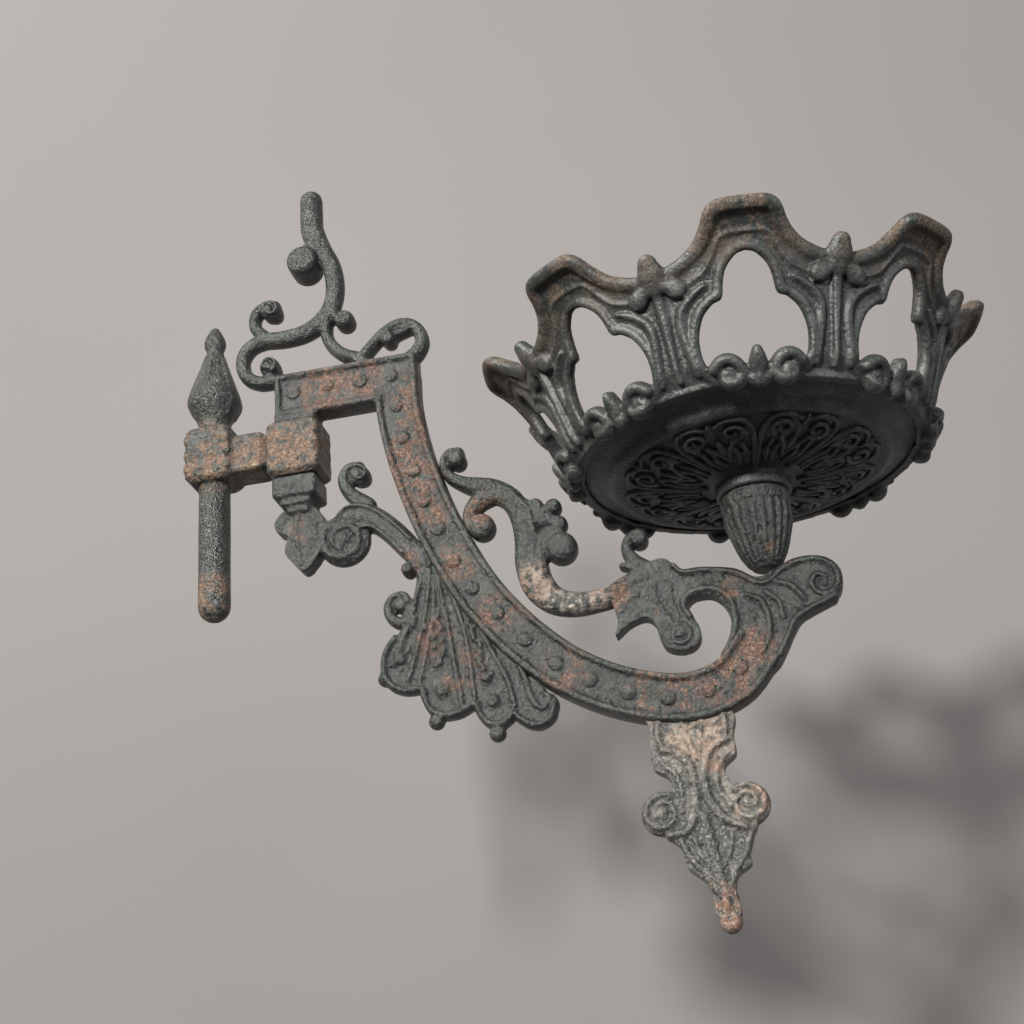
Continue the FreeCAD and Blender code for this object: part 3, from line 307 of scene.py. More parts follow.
# Stage 3: scrolls. Plates: outline, depth. Stems: route, depth. Volutes: x, z, radius, depth,
# first angle, turns. Buttons: x, z, radius, depth and, where it differs, squareness.
scrollVoxel = 0.42
scrolls = {
    "pivot_bracket": {
        "plates": [
            ([(27.4, -12.4), (23, -13.8), (20.6, -17), (21.4, -20.4), (24.6, -22.3), (23.6, -27.1),
              (26.6, -31.6), (29.4, -34.4), (32.4, -32.2), (35.6, -27), (36.8, -19), (33.2, -13.4)], 6)],
        "stems": [
            ([(40.6, -20.4, 5), (43.6, -17.6, 6.4), (50, -18.8, 7.8), (56.4, -24, 7.6),
              (62.4, -31.4, 7.4), (66.6, -37, 7)], 6.2),
            ([(40, -19.2, 1.8), (44, -15.6, 1.8), (50.4, -16.6, 1.8), (57.4, -22.4, 1.8),
              (63.4, -29.6, 1.8)], 7.8),
            ([(45.6, -24, 1.6), (50.4, -22.8, 1.6), (55.2, -26.6, 1.6), (60.6, -33.2, 1.6)], 7.6),
            ([(50, -15, 5.4), (44.8, -10.4, 4.6), (42.6, -5.6, 3.8), (44.4, -1.8, 3.4), (48, -1.4, 3)],
             6.2),
            ([(62.4, -38.4, 3.2), (65, -37.4, 3.6), (67, -37, 4)], 6),
            ([(28.8, -14, 1.6), (27.6, -20, 1.8), (28.2, -27, 1.6), (29.2, -32.4, 1.2)], 7.4),
            ([(26.6, -15, 1.4), (23.4, -17, 1.6), (22.6, -19.8, 1.2)], 7),
            ([(32, -15.2, 1.4), (33.8, -20.4, 1.6), (32.6, -27.4, 1.2)], 7)],
        "volutes": [(42.2, -25.8, 8.6, 7, 120, 1.35), (48, -4.8, 3.4, 8, 100, -1)],
        "buttons": [(61.6, -38.5, 2.1, 7.6)],
        "bricks": [(20.9, 35.1, 6.4, -10.3, -2.9, 0.8), (23, 33, 5.4, -13, -9.6, 0.8),
                   (24.6, 32.4, 4.4, -15.4, -12, 0.8)]},
    "top_scroll": {
        "plates": [],
        "stems": [
            ([(34.4, 100.8, 7.4, 7.4), (34.5, 92, 7.6, 7.6), (35.4, 87.4, 7.9, 7.8), (37.6, 82, 7, 7),
              (41, 74, 6.4, 6.8), (41.9, 65.4, 6.2, 6.6), (40.2, 58, 6, 6.4), (36, 53, 6, 6.2),
              (30.5, 50.3, 5.8, 6.2), (23.7, 49.7, 5.6, 6), (17.4, 50.1, 5.2, 6), (12.7, 48.6, 4.8, 6),
              (10.1, 45, 4.6, 6), (10, 40.8, 4.6, 6), (12, 36.8, 4.6, 6), (15.8, 34.6, 4.6, 6),
              (20, 34.3, 4.6, 6), (24, 33.8, 4.2, 6)], 6.4),
            ([(31.2, 80.6, 4.6), (34.6, 83, 5.4), (38.2, 80.6, 5)], 6.4),
            ([(17.8, 51.4, 4.2), (14.4, 55.6, 4), (14.6, 60.4, 3.8), (18.2, 63.2, 3.4), (21.6, 62.8, 3)],
             6),
            ([(41, 57, 3.6), (42.2, 53.8, 3.6), (44.6, 52.4, 3.6)], 6),
            ([(38.8, 54.6, 4), (38.6, 48.4, 4), (40.6, 43.4, 4.2), (44.6, 39.4, 4.4), (48.6, 37.2, 5),
              (51, 34.4, 5.6)], 6.2),
            ([(49.8, 36.4, 4.2), (52.8, 40, 3.8), (57, 44.2, 3.8), (61.6, 46.9, 3.8), (66, 46.7, 4.2),
              (69.2, 43.8, 4.4), (70.2, 39.4, 4.6), (68.4, 35.8, 5), (65.4, 33.4, 5.6)], 6.2),
            ([(66.6, 45, 3), (62.6, 43.6, 2.6), (59.6, 42.2, 2.6)], 6)],
        "volutes": [(19.2, 39.6, 3.5, 8.4, -60, 1.1), (20.2, 60.6, 3.5, 8.4, 120, -1.1)],
        "buttons": [(31.8, 76.8, 5.4, 11.6, 5), (45, 52.2, 3.3, 8.6), (59.4, 42.2, 2.5, 8.4)],
        "topPin": [(0.3, 90), (3.85, 90), (3.85, 102.2), (3.5, 104), (2.4, 105.3), (0.4, 105.9)],
        "topPinX": 34.5},
    "front_scroll": {
        "plates": [],
        "stems": [
            ([(79.8, -2.2, 2.8), (76.6, -2.4, 3), (74.8, -5.4, 3.2), (76, -9.6, 3.6), (79.6, -12.6, 4.4),
              (84.4, -14.8, 6.4), (89.2, -16.8, 7.6), (94.4, -20.6, 7.2), (97.2, -27, 7.2),
              (98.6, -34.6, 8.6), (98.8, -42, 9.8), (100.4, -49.4, 9.6), (104.8, -54.8, 8.4),
              (111.6, -57, 7.2), (120.8, -56.6, 6.2)], 6.8),
            ([(90.2, -17.6, 6.6), (84.8, -19.8, 6.2), (81.8, -23.6, 5), (81.6, -28, 3.8)], 6.4),
            ([(100.4, -46, 5.6), (101.8, -39.6, 5.6), (104.2, -34.6, 5.2), (108, -34.4, 4.2)], 6.4),
            ([(96.4, -22, 5), (99.4, -24.6, 5), (101.6, -24.8, 4.4)], 6.4),
            ([(98.4, -28.4, 5), (103, -29, 5.6), (107.4, -30.6, 4.2)], 6.6),
            ([(99.6, -26.4, 4.4), (103.4, -27, 4.4), (106.4, -25.8, 4)], 6.2),
            ([(95.6, -19.6, 1.2), (99.4, -25.4, 1.4), (101, -33, 1.2)], 7.6)],
        "volutes": [],
        "buttons": [(85, -28.4, 4.1, 8.6), (108.2, -39, 4.9, 8.8), (78.8, -4.8, 2.9, 8.6),
                    (101.6, -24.6, 2.7, 6.8), (107, -25.4, 2.5, 6.8), (108.2, -31.2, 2.6, 6.8)]},
    "saddle_scroll": {
        "plates": [
            ([(120.8, -54.6), (127, -50.8), (132, -48.4), (137.6, -47.6), (141.8, -51.6), (147.7, -51.9),
              (157, -53.8), (163, -57.4), (168.4, -55.6), (173.4, -53.6), (178.8, -53.4), (183.2, -54.8),
              (186, -58.2), (186.3, -62.4), (184.9, -65.6), (181.8, -67.6), (174.4, -70.9), (170.9, -75),
              (168.2, -79.6), (164.6, -84.4), (159, -86.6), (151, -80.6), (153.4, -73.4), (154, -68),
              (152.8, -63.9), (150.2, -61.2), (147, -60.5), (144, -61.2), (142.5, -63.4), (143.4, -66),
              (145, -69.4), (145, -72.8), (142.8, -75.4), (138.8, -76), (135, -74.4), (133.5, -70.8),
              (132.8, -67), (130.2, -64.8), (125.8, -65.9), (121.2, -69), (122.4, -64.8), (121.6, -59.8)],
             5.6)],
        "stems": [
            ([(120, -56.6, 5.4), (126, -53.6, 6), (131, -52, 6)], 6.8),
            ([(133.6, -50.6, 5.6), (129.2, -46.6, 4.4), (127.2, -42.6, 3.6), (128.8, -38.8, 3),
              (132.2, -38.2, 2.6)], 6.2),
            ([(132, -50.2, 4.2), (128.2, -48.6, 3), (125.4, -47.6, 2.1)], 5.6),
            ([(142.8, -66.4, 2.4), (141.4, -63, 2.6), (143, -60, 2.6), (147, -58.8, 2.6),
              (151.4, -59.8, 2.6), (154.6, -63.2, 2.6), (155.4, -68.4, 2.6), (154, -74, 2.6),
              (150.8, -79.2, 2.6)], 8),
            ([(140, -50.4, 2.1), (142.6, -53, 2.1), (149, -53.4, 2.1), (157, -55.4, 2.1),
              (162.6, -59.4, 2.3), (166.6, -59.2, 2.3), (170, -56.4, 2.3), (175, -54.8, 2.3),
              (180.4, -55, 2.3), (184.2, -57.8, 2.3), (184.9, -62.2, 2.3), (182.6, -65.4, 2.3),
              (179, -65, 2.3), (177.6, -61.8, 2.1), (179.4, -59.4, 1.9), (181.6, -60.6, 1.7)], 8.2),
            ([(183.4, -66.4, 2.1), (176, -69.2, 2.3), (171.6, -71.6, 2.3), (168.8, -76.4, 2),
              (165.6, -81.4, 2.2)], 8.2),
            ([(159.4, -62.6, 2), (163, -65, 2.2), (164.4, -70, 2.3), (163.6, -76, 2.2), (161.2, -80, 2)],
             8.4),
            ([(164.6, -62.4, 2.1), (167.8, -66, 2.3), (168.4, -70.6, 2.1)], 8.2),
            ([(168.6, -60.2, 2.1), (172, -61.8, 2.2), (175, -66, 1.9)], 8.2),
            ([(166, -63.6, 2.2), (170.6, -65.6, 2.4), (174, -68.4, 1.9)], 6.8),
            ([(157.4, -65, 2.6), (159.6, -68.8, 3), (159.8, -73.4, 2.2)], 6.8),
            ([(134.2, -55, 2.1), (134, -60, 2.3), (136.4, -65.4, 2.3), (138, -70.2, 2.1)], 6.8),
            ([(138.6, -56, 2), (138.2, -61, 2.2), (139.6, -66, 2.3)], 6.8),
            ([(124, -62, 1.9), (126, -58.6, 2.3), (129.6, -57.4, 2.1)], 6.8)],
        "volutes": [(139.4, -71.4, 4.2, 7.6, 100, -1.25)],
        "buttons": [(131, -39.8, 2.9, 8.6), (152, -56.4, 2.3, 7.6), (181, -62.2, 1.5, 7.6)]},
    "tail_pendant": {
        "plates": [
            ([(128.4, -92), (127.6, -98), (127, -104), (127.4, -108.4), (131.2, -111.4), (131.4, -116),
              (128, -125), (132.2, -130.6), (133, -135.6), (137, -139.4), (138.8, -143), (139.4, -149),
              (145.4, -149), (145, -143), (146.2, -139), (150, -136.4), (149.8, -131.4), (153, -125.6),
              (148.4, -116), (146.4, -110.2), (150, -106.8), (150, -101.6), (149.6, -94)], 5)],
        "stems": [
            ([(130.4, -103.6, 2.4), (134, -104.6, 2.8), (136.9, -108.4, 3.2), (137.7, -114, 3.4),
              (136.9, -121, 3.4), (134.4, -126, 3), (129.6, -126.8, 2.4)], 7.6),
            ([(148.6, -102.6, 2.4), (144.6, -104, 2.8), (141.6, -107.6, 3.2), (140.4, -113, 3.4),
              (141.4, -119, 3.4), (144.8, -124, 3), (149.8, -127, 2.4)], 7.6),
            ([(130, -107.6, 1.6), (133.2, -110.8, 2), (134.2, -116, 2), (133.4, -121, 1.6)], 6.6),
            ([(147.8, -106.6, 1.6), (144.6, -110.4, 2), (144, -115.6, 2), (146.4, -120.6, 1.6)], 6.6),
            ([(130.2, -95.4, 2.6), (129.4, -99, 2.4), (130.2, -102.4, 2.2)], 7),
            ([(148, -95.4, 2.6), (148.2, -98.6, 2.4), (148, -101.6, 2.2)], 7),
            ([(136.4, -95.6, 1.8), (137.6, -101, 1.8), (139, -107, 1.6)], 6.4),
            ([(142, -95.6, 1.8), (141, -101, 1.8), (139.6, -107, 1.6)], 6.4),
            ([(139.2, -122.6, 3.4), (139.8, -129, 4.6), (140.8, -136, 4.2), (141.8, -142, 3.6),
              (142.2, -147, 3.4)], 7.4),
            ([(132.4, -128.6, 1.8), (134.4, -133.6, 2.2), (138.6, -138.6, 2.4), (140.4, -143, 1.8)],
             6.8),
            ([(151, -128.6, 1.8), (148.6, -134, 2.2), (145, -138.6, 2.4), (143.6, -143, 1.8)], 6.8),
            ([(136, -128.4, 1.4), (137, -132.4, 1.8), (139.2, -136.4, 1.4)], 6.4),
            ([(146, -127.6, 1.4), (145, -132.4, 1.8), (142.8, -136.4, 1.4)], 6.4)],
        "volutes": [(128.3, -120.6, 6.3, 7, 60, 1.4), (151.3, -120.6, 6.3, 7, 120, -1.4)],
        "buttons": [(142.5, -150.4, 3.1, 6.2), (142.2, -144.6, 3.3, 5.6)]}}
armPieces = {}
for name, form in scrolls.items():
    pile = heap()
    for outline, deep in form["plates"]:
        plate(pile, outline, deep)
    for route, deep in form["stems"]:
        stem(pile, route, deep)
    for coiled in form["volutes"]:
        volute(pile, *coiled)
    for boss in form["buttons"]:
        button(pile, *boss)
    for sizes in form.get("bricks", []):
        brick(pile, *sizes)
    if "topPin" in form:
        lathe(pile, form["topPin"], form["topPinX"])
    armPieces[name] = cast(name + "_casting", pile, scrollVoxel, "arm", [name])

# Stage 4: palmette
palmForm = {
    "voxel": 0.42, "dots": 58, "dotSizes": (0.95, 1.3), "dotSpan": (0.22, 0.62), "dotRows": 19,
    "sheetDeep": 3.8, "lobeDeep": 4, "edgeWide": 2.3, "edgeDeep": 6, "ribDeep": 5.9, "nubDeep": 5.4,
    "bossDeep": 7, "dotDeep": 6.4, "curlDeep": 5.4, "neckDeep": 5.2, "curlEye": (58.9, -49.6, 2.2, 6.6),
    "outline": [(66, -33.4), (64.2, -42), (62.4, -50), (60.2, -55.6), (56.6, -59.6), (53.6, -64),
                (52.9, -69.4), (54.8, -73.9), (58.6, -75.9), (62.6, -76.1), (64, -76.2), (64.6, -79.2),
                (66.4, -83), (69.6, -84.9), (74, -84.8), (77.8, -83.2), (79.4, -82.8), (80.4, -85.8),
                (82.6, -88.9), (85.8, -89.9), (88.6, -88.4), (89.8, -86.9), (91.4, -88.6), (94.2, -90.8),
                (97.4, -91.4), (100.6, -89.6), (102, -86)],
    "window": [(96, -86), (99.8, -82.4), (98.8, -80.2), (95.2, -77.4), (91.8, -72.4), (92.6, -69.6),
               (76, -40)],
    "lobe": [(94, -80.4), (95.8, -82.8), (98.8, -82.8), (101.6, -83), (103, -86), (100.4, -91),
             (96.6, -91.6), (93, -88)],
    "neckCurl": [(62, -51.6, 4.2), (59.6, -55, 4), (56.2, -53.6, 3.4), (54.8, -50, 3), (56.4, -46.8, 2.6),
                 (59.8, -46.2, 2.2), (61.4, -48.6, 1.8)],
    "neck": [(66.8, -34, 5), (66.6, -39, 6), (67.6, -44, 7)],
    "ribs": [[(68, -36, 2), (64.4, -46, 2), (61.6, -55.4, 1.8), (58.4, -63, 1.6), (55.6, -68, 1.4)],
             [(68.6, -40, 1.4), (66.6, -52, 1.6), (63.6, -63, 1.7), (60, -73.4, 1.8)],
             [(69.8, -42, 1.4), (68.6, -54, 1.6), (66, -65, 1.7), (63.4, -74.6, 1.8)],
             [(70.6, -42, 1.4), (72.2, -54, 1.6), (73.6, -66, 1.8), (75.4, -82.4, 1.8)],
             [(71.8, -41.6, 1.4), (75.6, -52, 1.6), (78, -64, 1.8), (79.4, -82, 1.8)],
             [(73.2, -42, 1.4), (79, -53, 1.6), (84.4, -66, 1.8), (89, -77, 1.8), (90.6, -85.4, 1.8)],
             [(76, -44, 1.6), (83.6, -56, 1.8), (89.6, -66.6, 2), (93.6, -75.6, 2), (95.8, -84.2, 2.2),
              (98.4, -86.8, 2.2), (100.6, -84.2, 2), (98.8, -82.2, 1.6)]],
    "dotLanes": [((65.4, -44), (57.2, -69)), ((70.4, -46), (69.4, -76)), ((77.4, -52), (85, -80))],
    "bosses": [(58, -66.4, 2.3), (70, -77.6, 2.5), (84.6, -83, 2.4), (83, -75.8, 1.9), (66, -58, 1.4)],
    "nubs": [(52.9, -71.4, 2.3), (67.4, -86.2, 2.4), (84.8, -92, 2.5)]}
palm = heap()
# the sheet follows the outline as far as the third lobe and turns back along the window
plate(palm, palmForm["outline"][:23] + palmForm["window"], palmForm["sheetDeep"])
plate(palm, palmForm["lobe"], palmForm["lobeDeep"])
stem(palm, [(x, z, palmForm["edgeWide"]) for x, z in palmForm["outline"][4:]], palmForm["edgeDeep"])
for route in palmForm["ribs"]:
    stem(palm, route, palmForm["ribDeep"])
for x, z, r in palmForm["nubs"]:
    button(palm, x, z, r, palmForm["nubDeep"], square=2.2)
for x, z, r in palmForm["bosses"]:
    button(palm, x, z, r, palmForm["bossDeep"], square=2.4)
seeds = random.Random(11)
lanes, (first, span) = palmForm["dotLanes"], palmForm["dotSpan"]
for k in range(palmForm["dots"]):
    t = first + span * (k // len(lanes)) / palmForm["dotRows"]
    (x0, z0), (x1, z1) = lanes[k % len(lanes)]
    x = x0 + (x1 - x0) * t + seeds.uniform(-1, 1) * 2.6 * t
    r = seeds.uniform(*palmForm["dotSizes"])
    button(palm, x, z0 + (z1 - z0) * t, r, palmForm["dotDeep"], square=2.2, around=10)
stem(palm, palmForm["neckCurl"], palmForm["curlDeep"])
button(palm, *palmForm["curlEye"])
stem(palm, palmForm["neck"], palmForm["neckDeep"])
palmPiece = cast("palmette_casting", palm, palmForm["voxel"], "arm", ["palmette"])

# Stage 5: fluted socket. Flute: radius, height, width
socketForm = {
    "flutes": 22, "fluteDeep": 1.5, "voxel": 0.42,
    "profile": [(0.5, -55), (3.6, -55), (4.8, -53.2), (6.6, -49.6), (8, -45), (9.2, -40.6), (9.5, -37.4),
                (9.5, -36.2), (10.1, -35.6), (10.3, -34), (10.1, -32.3), (9.7, -32.05), (0.5, -32.05)],
    "flute": [(4.4, -53.4, 0.7), (6.5, -49.4, 1.3), (7.9, -45, 1.7), (9.2, -40.4, 2), (9.4, -37.2, 2)]}
socket = heap()
lathe(socket, socketForm["profile"], reach)
for k in range(socketForm["flutes"]):
    a = 2 * math.pi * k / socketForm["flutes"]
    rows = [[reach + r * math.cos(a), r * math.sin(a), z, w, socketForm["fluteDeep"]]
            for r, z, w in socketForm["flute"]]
    sweep(socket, run(rows, 1.2), lambda p: Vector((p.x - reach, p.y, 0)).normalized(), square=2.2, sides=10)
socketPiece = cast("cup_socket_casting", socket, socketForm["voxel"], "arm", ["cup_socket"])

# Stage 6: the cup, one eighth of the gallery and of the dish at a time, about its own axis.
# wall: height, radius. bay and rim: angle off the bay's middle, height. Stems are mirrored: angle
# off the bay's or the post's middle, height, width; then depth, distance out and squareness
eighth, copies = 22.5, 8
galleryForm = {
    "thick": 3, "columns": 15, "bandColumns": 65, "bandRows": 12, "overlap": 0.4, "voxel": 0.5, "keep": 0.46,
    "archPoints": 8, "archReach": 8.1, "bandFoot": -0.6,
    "border": {"wide": 2.8, "deep": 3.2, "out": -0.5},
    "rimBorder": {"wide": 4, "deep": 3.6, "out": -0.5, "aside": 0.1, "below": 1.1},
    "wall": [(-19.6, 51.2), (-17.8, 52.7), (-15.7, 54.3), (-8, 57.2), (-0.5, 60), (5, 62.5), (10.2, 65.3),
             (13.6, 68), (16.1, 70.9), (18.2, 74.1), (19.6, 75.2)],
    "bay": [(0, 11), (2.6, 10.4), (4.7, 8.7), (6.3, 6.6), (7.2, 4.2), (7.7, 2), (8.1, 0.2), (9.6, 0),
            (11.3, -1.1), (13.4, -3), (14.9, -5.6), (16, -8.6), (16.4, -12), (16.2, -14.7), (15.2, -17.6),
            (12.7, -19.3)],
    "rim": [(0, 19.6), (3, 19.6), (5.4, 19.3), (6.8, 18.2), (8.4, 15.6), (11.4, 12.4), (15.6, 10.2),
            (19.5, 9), (22.5, 8.8)],
    "postHeights": (-19.3, -18.2, -16, -14, -12, -9, -6, -4, -2.4, -1.1, -0.4, 0.4, 2, 4.2),
    "bayStems": [([(0.2, 14, 1.2), (5.4, 13.4, 1.2), (8, 9.6, 1.2), (10.6, 6.4, 1.2), (14.6, 4.6, 1)],
                  1.8, -0.1),
                 ([(5.2, -17.4, 2.8), (2, -21, 3.4), (-0.3, -22.2, 3)], 4, 0.5),
                 ([(0.1, -21.4, 2.4), (-0.05, -17.4, 5.2), (-0.05, -14.6, 3)], 5, 0.9)],
    "postStems": [([(5.4, -17.6, 1.6), (4.4, -10, 2.2), (4, -5, 2.4), (5, -1.4, 2.4), (8.4, 1.6, 2),
                    (11.6, 3.2, 1.4)], 2.6, 0),
                  ([(4.4, 4.6, 5.2), (5, 4.2, 5.4)], 3.2, 0.9, 2.6),
                  ([(1.2, 6, 3), (3, 5.4, 4)], 3, 0.9)],
    "middleStems": [([(0, -18, 1.6), (0, -10, 2), (0, -2, 2.6), (0, 3, 3)], 3, 0.3),
                    ([(0, 5.6, 4.4, 3.8), (0, 8, 6.6, 4.8), (0, 10.2, 7.2, 5), (0, 11.6, 5.6, 4.4)], 4.8,
                     0.9, 2.2)],
    "coil": {"off": 8.2, "z": -19.6, "radii": (4.4, 1), "turns": 1.3, "widths": (3.5, 2.2),
             "starts": (35, 145), "stretch": 1 / 0.93, "deep": 4.8, "out": 0.6,
             "eyeWide": 3.2, "eyeDeep": 5.6}}


def blendAt(table, value):
    for (a, b), (c, d) in zip(table, table[1:]):
        if value <= c:
            return b + (d - b) * (value - a) / (c - a)
    return table[-1][1]


def wallR(z):
    return blendAt(galleryForm["wall"], max(z, galleryForm["wall"][0][0]))


def onWall(angle, z, out=0):
    # a place on the cup's outer face: angle in degrees from the post, height and distance out
    slope = wallR(z + 0.5) - wallR(z - 0.5)
    lean = math.hypot(1, slope)
    r = wallR(z) + out / lean
    a = math.radians(angle)
    return Vector((r * math.sin(a), -r * math.cos(a), z - out * slope / lean))


def wallNormal(p):
    flat = Vector((p.x, p.y, 0)).normalized()
    return Vector((flat.x, flat.y, wallR(p.z - 0.5) - wallR(p.z + 0.5))).normalized()


def wallStem(pile, route, deep, out=0, square=2.3):
    # route: angle, height, width and, where it changes, depth
    full = []
    for a, _, z, wide, thick in run([[r[0], 0, r[1], r[2], r[3] if len(r) > 3 else deep] for r in route]):
        full.append([*onWall(a, z, out), wide, thick])
    sweep(pile, full, wallNormal, square, sides=14)


def wallSheet(pile, grid):
    # grid: rows of places on the wall, upwards; the sheet is as thick as the gallery
    rows, count = len(grid), len(grid[0])
    verts = [onWall(a, z, out) for out in (0, -galleryForm["thick"]) for row in grid for a, z in row]
    layer, faces = rows * count, []
    for j in range(rows - 1):
        for k in range(count - 1):
            q = (j * count + k, j * count + k + 1, (j + 1) * count + k + 1, (j + 1) * count + k)
            faces += [q, tuple(i + layer for i in q[::-1])]
        for k, turn in ((0, 1), (count - 1, -1)):
            q = (j * count + k, (j + 1) * count + k, (j + 1) * count + k + layer, j * count + k + layer)
            faces.append(q[::turn])
    for k in range(count - 1):
        for j, turn in ((0, 1), (rows - 1, -1)):
            q = (j * count + k, j * count + k + 1, j * count + k + 1 + layer, j * count + k + layer)
            faces.append(q[::turn])
    addFaces(pile, verts, faces)


bay, rim, overlap = galleryForm["bay"], galleryForm["rim"], galleryForm["overlap"]
bayTop, bayFoot = bay[0][1], bay[-1][1]


def bayHalf(z):
    return blendAt([(h, a) for a, h in bay[::-1]], max(min(z, bayTop), bayFoot))


def bandRow(share):
    # places across the rim band, from the bays' top edges to the rim
    row = []
    for k in range(galleryForm["bandColumns"]):
        a = (eighth + overlap) * (2 * k / (galleryForm["bandColumns"] - 1) - 1)
        off = abs(eighth - abs(a))
        arch = bay[:galleryForm["archPoints"]]
        low = blendAt(arch, off) if off < galleryForm["archReach"] else galleryForm["bandFoot"]
        row.append((a, low + (blendAt(rim, off) - low) * share))
    return row


gallery = heap()
# the post is as wide as the bays leave it
postRows = [(-21, eighth + overlap)] + [(z, eighth - bayHalf(z)) for z in galleryForm["postHeights"]]
columns = galleryForm["columns"]
wallSheet(gallery, [[(wide * (2 * k / (columns - 1) - 1), z) for k in range(columns)]
                    for z, wide in postRows])
bandRows = galleryForm["bandRows"]
wallSheet(gallery, [bandRow(j / bandRows) for j in range(bandRows + 1)])
border, rimBorder, coil = (galleryForm[k] for k in ("border", "rimBorder", "coil"))
for way in (-1, 1):
    # raised border round the bay, and a broad one along the rim
    raised = [(way * (eighth - a), z, border["wide"]) for a, z in bay]
    wallStem(gallery, raised, border["deep"], border["out"])
    raised = [(way * (eighth - a - rimBorder["aside"]), z - rimBorder["below"], rimBorder["wide"])
              for a, z in rim[:-1]]
    wallStem(gallery, raised, rimBorder["deep"], rimBorder["out"], square=2.6)
    for route, *sizes in galleryForm["bayStems"]:
        wallStem(gallery, [(way * (eighth - a), z, w) for a, z, w in route], *sizes)
    # flutes of the post, running out into the arches, and the round leaves beside the bud
    for route, *sizes in galleryForm["postStems"]:
        wallStem(gallery, [(way * a, z, w) for a, z, w in route], *sizes)
    # double scroll at the foot of each bay
    x, z = way * (eighth - coil["off"]), coil["z"]
    coiled = curl(x, z, coil["radii"], coil["starts"][way > 0], -way * coil["turns"], coil["widths"],
                  count=20, stretch=coil["stretch"])
    wallStem(gallery, coiled, coil["deep"], coil["out"])
    eyeEnds = [(x - 0.01, z, coil["eyeWide"]), (x + 0.01, z, coil["eyeWide"])]
    wallStem(gallery, eyeEnds, coil["eyeDeep"], coil["out"])
# broad middle rib of the post and the bud above it, which curls outwards
for route, *sizes in galleryForm["middleStems"]:
    wallStem(gallery, route, *sizes)

dishForm = {
    "voxel": 0.62, "around": 160,
    "profile": [(10.4, -31.9), (11, -31.6), (11.1, -30), (11, -28.2), (11.8, -27.5), (18, -26.9),
                (26, -25.9), (33, -24.7), (37, -23.9), (38.2, -24.3), (39.7, -24.4), (41.2, -23.7),
                (42.6, -22.3), (45, -21.4), (49, -20), (51.4, -19.1), (52, -18.3), (50.8, -17.8),
                (48.6, -18.2), (43, -20.4), (38, -22.3), (36.6, -22.5), (20, -22.5), (5.3, -22.5),
                (5.1, -22.9), (5.1, -25.3), (2.8, -25.3), (2.8, -31.9)]}
dish = heap()
profile, around = dishForm["profile"], dishForm["around"]
faces = []
for j in range(len(profile)):
    m = (j + 1) % len(profile)
    for k in range(around):
        n = (k + 1) % around
        faces.append((j * around + n, m * around + n, m * around + k, j * around + k))
addFaces(dish, [(x, y, z) for r, z in profile for x, y in circle(r, around)], faces)
dishPiece = cast("cup_dish_casting", dish, dishForm["voxel"], None, soften=1)

# under: radius and height of the dish's underside. Stems: angle from the panel's middle, radius,
# width; then depth
panelForm = {
    "voxel": 0.4, "sunk": 0.2,
    "coil": {"x": 5.2, "r": 31, "radii": (3.5, 0.9), "turns": 1.25, "start": -70, "widths": (1.7, 1.2),
             "deep": 2.4},
    "under": [(11, -27.6), (18, -26.9), (26, -25.9), (33, -24.7), (38.4, -23.6), (45, -21.1), (49, -19.5),
              (53, -17.6)],
    "sideStems": [([(21.2, 13.4, 1.2), (21, 24, 1.6), (20, 31, 1.8), (15.6, 35.8, 1.6), (8, 36.9, 1.4),
                    (2.4, 35.2, 1.2)], 2),
                  ([(0, 18, 1.2), (3.6, 22.6, 1.6), (8.2, 27, 1.7)], 2.2),
                  ([(7, 15.6, 1.2), (9, 19.6, 1.6), (8, 23.4, 1.4)], 2),
                  ([(13.6, 15.8, 1.2), (15, 20.4, 1.7), (13, 25.6, 1.4)], 2),
                  ([(15.8, 27.4, 1.2), (16.6, 30.4, 1.6), (14.6, 33, 1)], 1.9)],
    "middleStems": [([(0, 22.4, 1.2), (0, 25.4, 2.4), (0, 28.6, 1.2)], 2.2),
                    ([(0, 32.4, 1), (0, 34.4, 2), (0, 36.6, 1)], 2.1)]}


def underStem(pile, route, deep, square=2.2):
    full = []
    for a, _, r, wide in run([[a, 0, r, w] for a, r, w in route], 1.0):
        a, z = math.radians(a), blendAt(panelForm["under"], r) - panelForm["sunk"]
        full.append([r * math.sin(a), -r * math.cos(a), z, wide, deep])
    sweep(pile, full, lambda p: Vector((0, 0, -1)), square, sides=12)


panel = heap()
coil = panelForm["coil"]
for way in (-1, 1):
    for route, deep in panelForm["sideStems"]:
        underStem(panel, [(way * a, r, w) for a, r, w in route], deep)
    coiled = curl(way * coil["x"], coil["r"], coil["radii"], coil["start"], -way * coil["turns"],
                  coil["widths"], count=18, stretch=-1)
    route = [(math.degrees(math.atan2(x, y)), math.hypot(x, y), w) for x, y, w in coiled]
    underStem(panel, route, coil["deep"])
for route, deep in panelForm["middleStems"]:
    underStem(panel, route, deep)
galleryEighth = cast("gallery_eighth", gallery, galleryForm["voxel"], None, keep=galleryForm["keep"])
panelPart = cast("dish_panel", panel, panelForm["voxel"], None, soften=1)


# Node building, for shapes and materials alike
def openGroup(name, kind, inputs, outputs):
    # inputs and outputs: the kind of each socket by its name
    group = bpy.data.node_groups.new(name, kind + "NodeTree")
    for way, sockets in (("INPUT", inputs), ("OUTPUT", outputs)):
        for label, socketKind in sockets.items():
            group.interface.new_socket(label, in_out=way, socket_type="NodeSocket" + socketKind)
    return group, group.nodes.new("NodeGroupInput").outputs, group.nodes.new("NodeGroupOutput").inputs


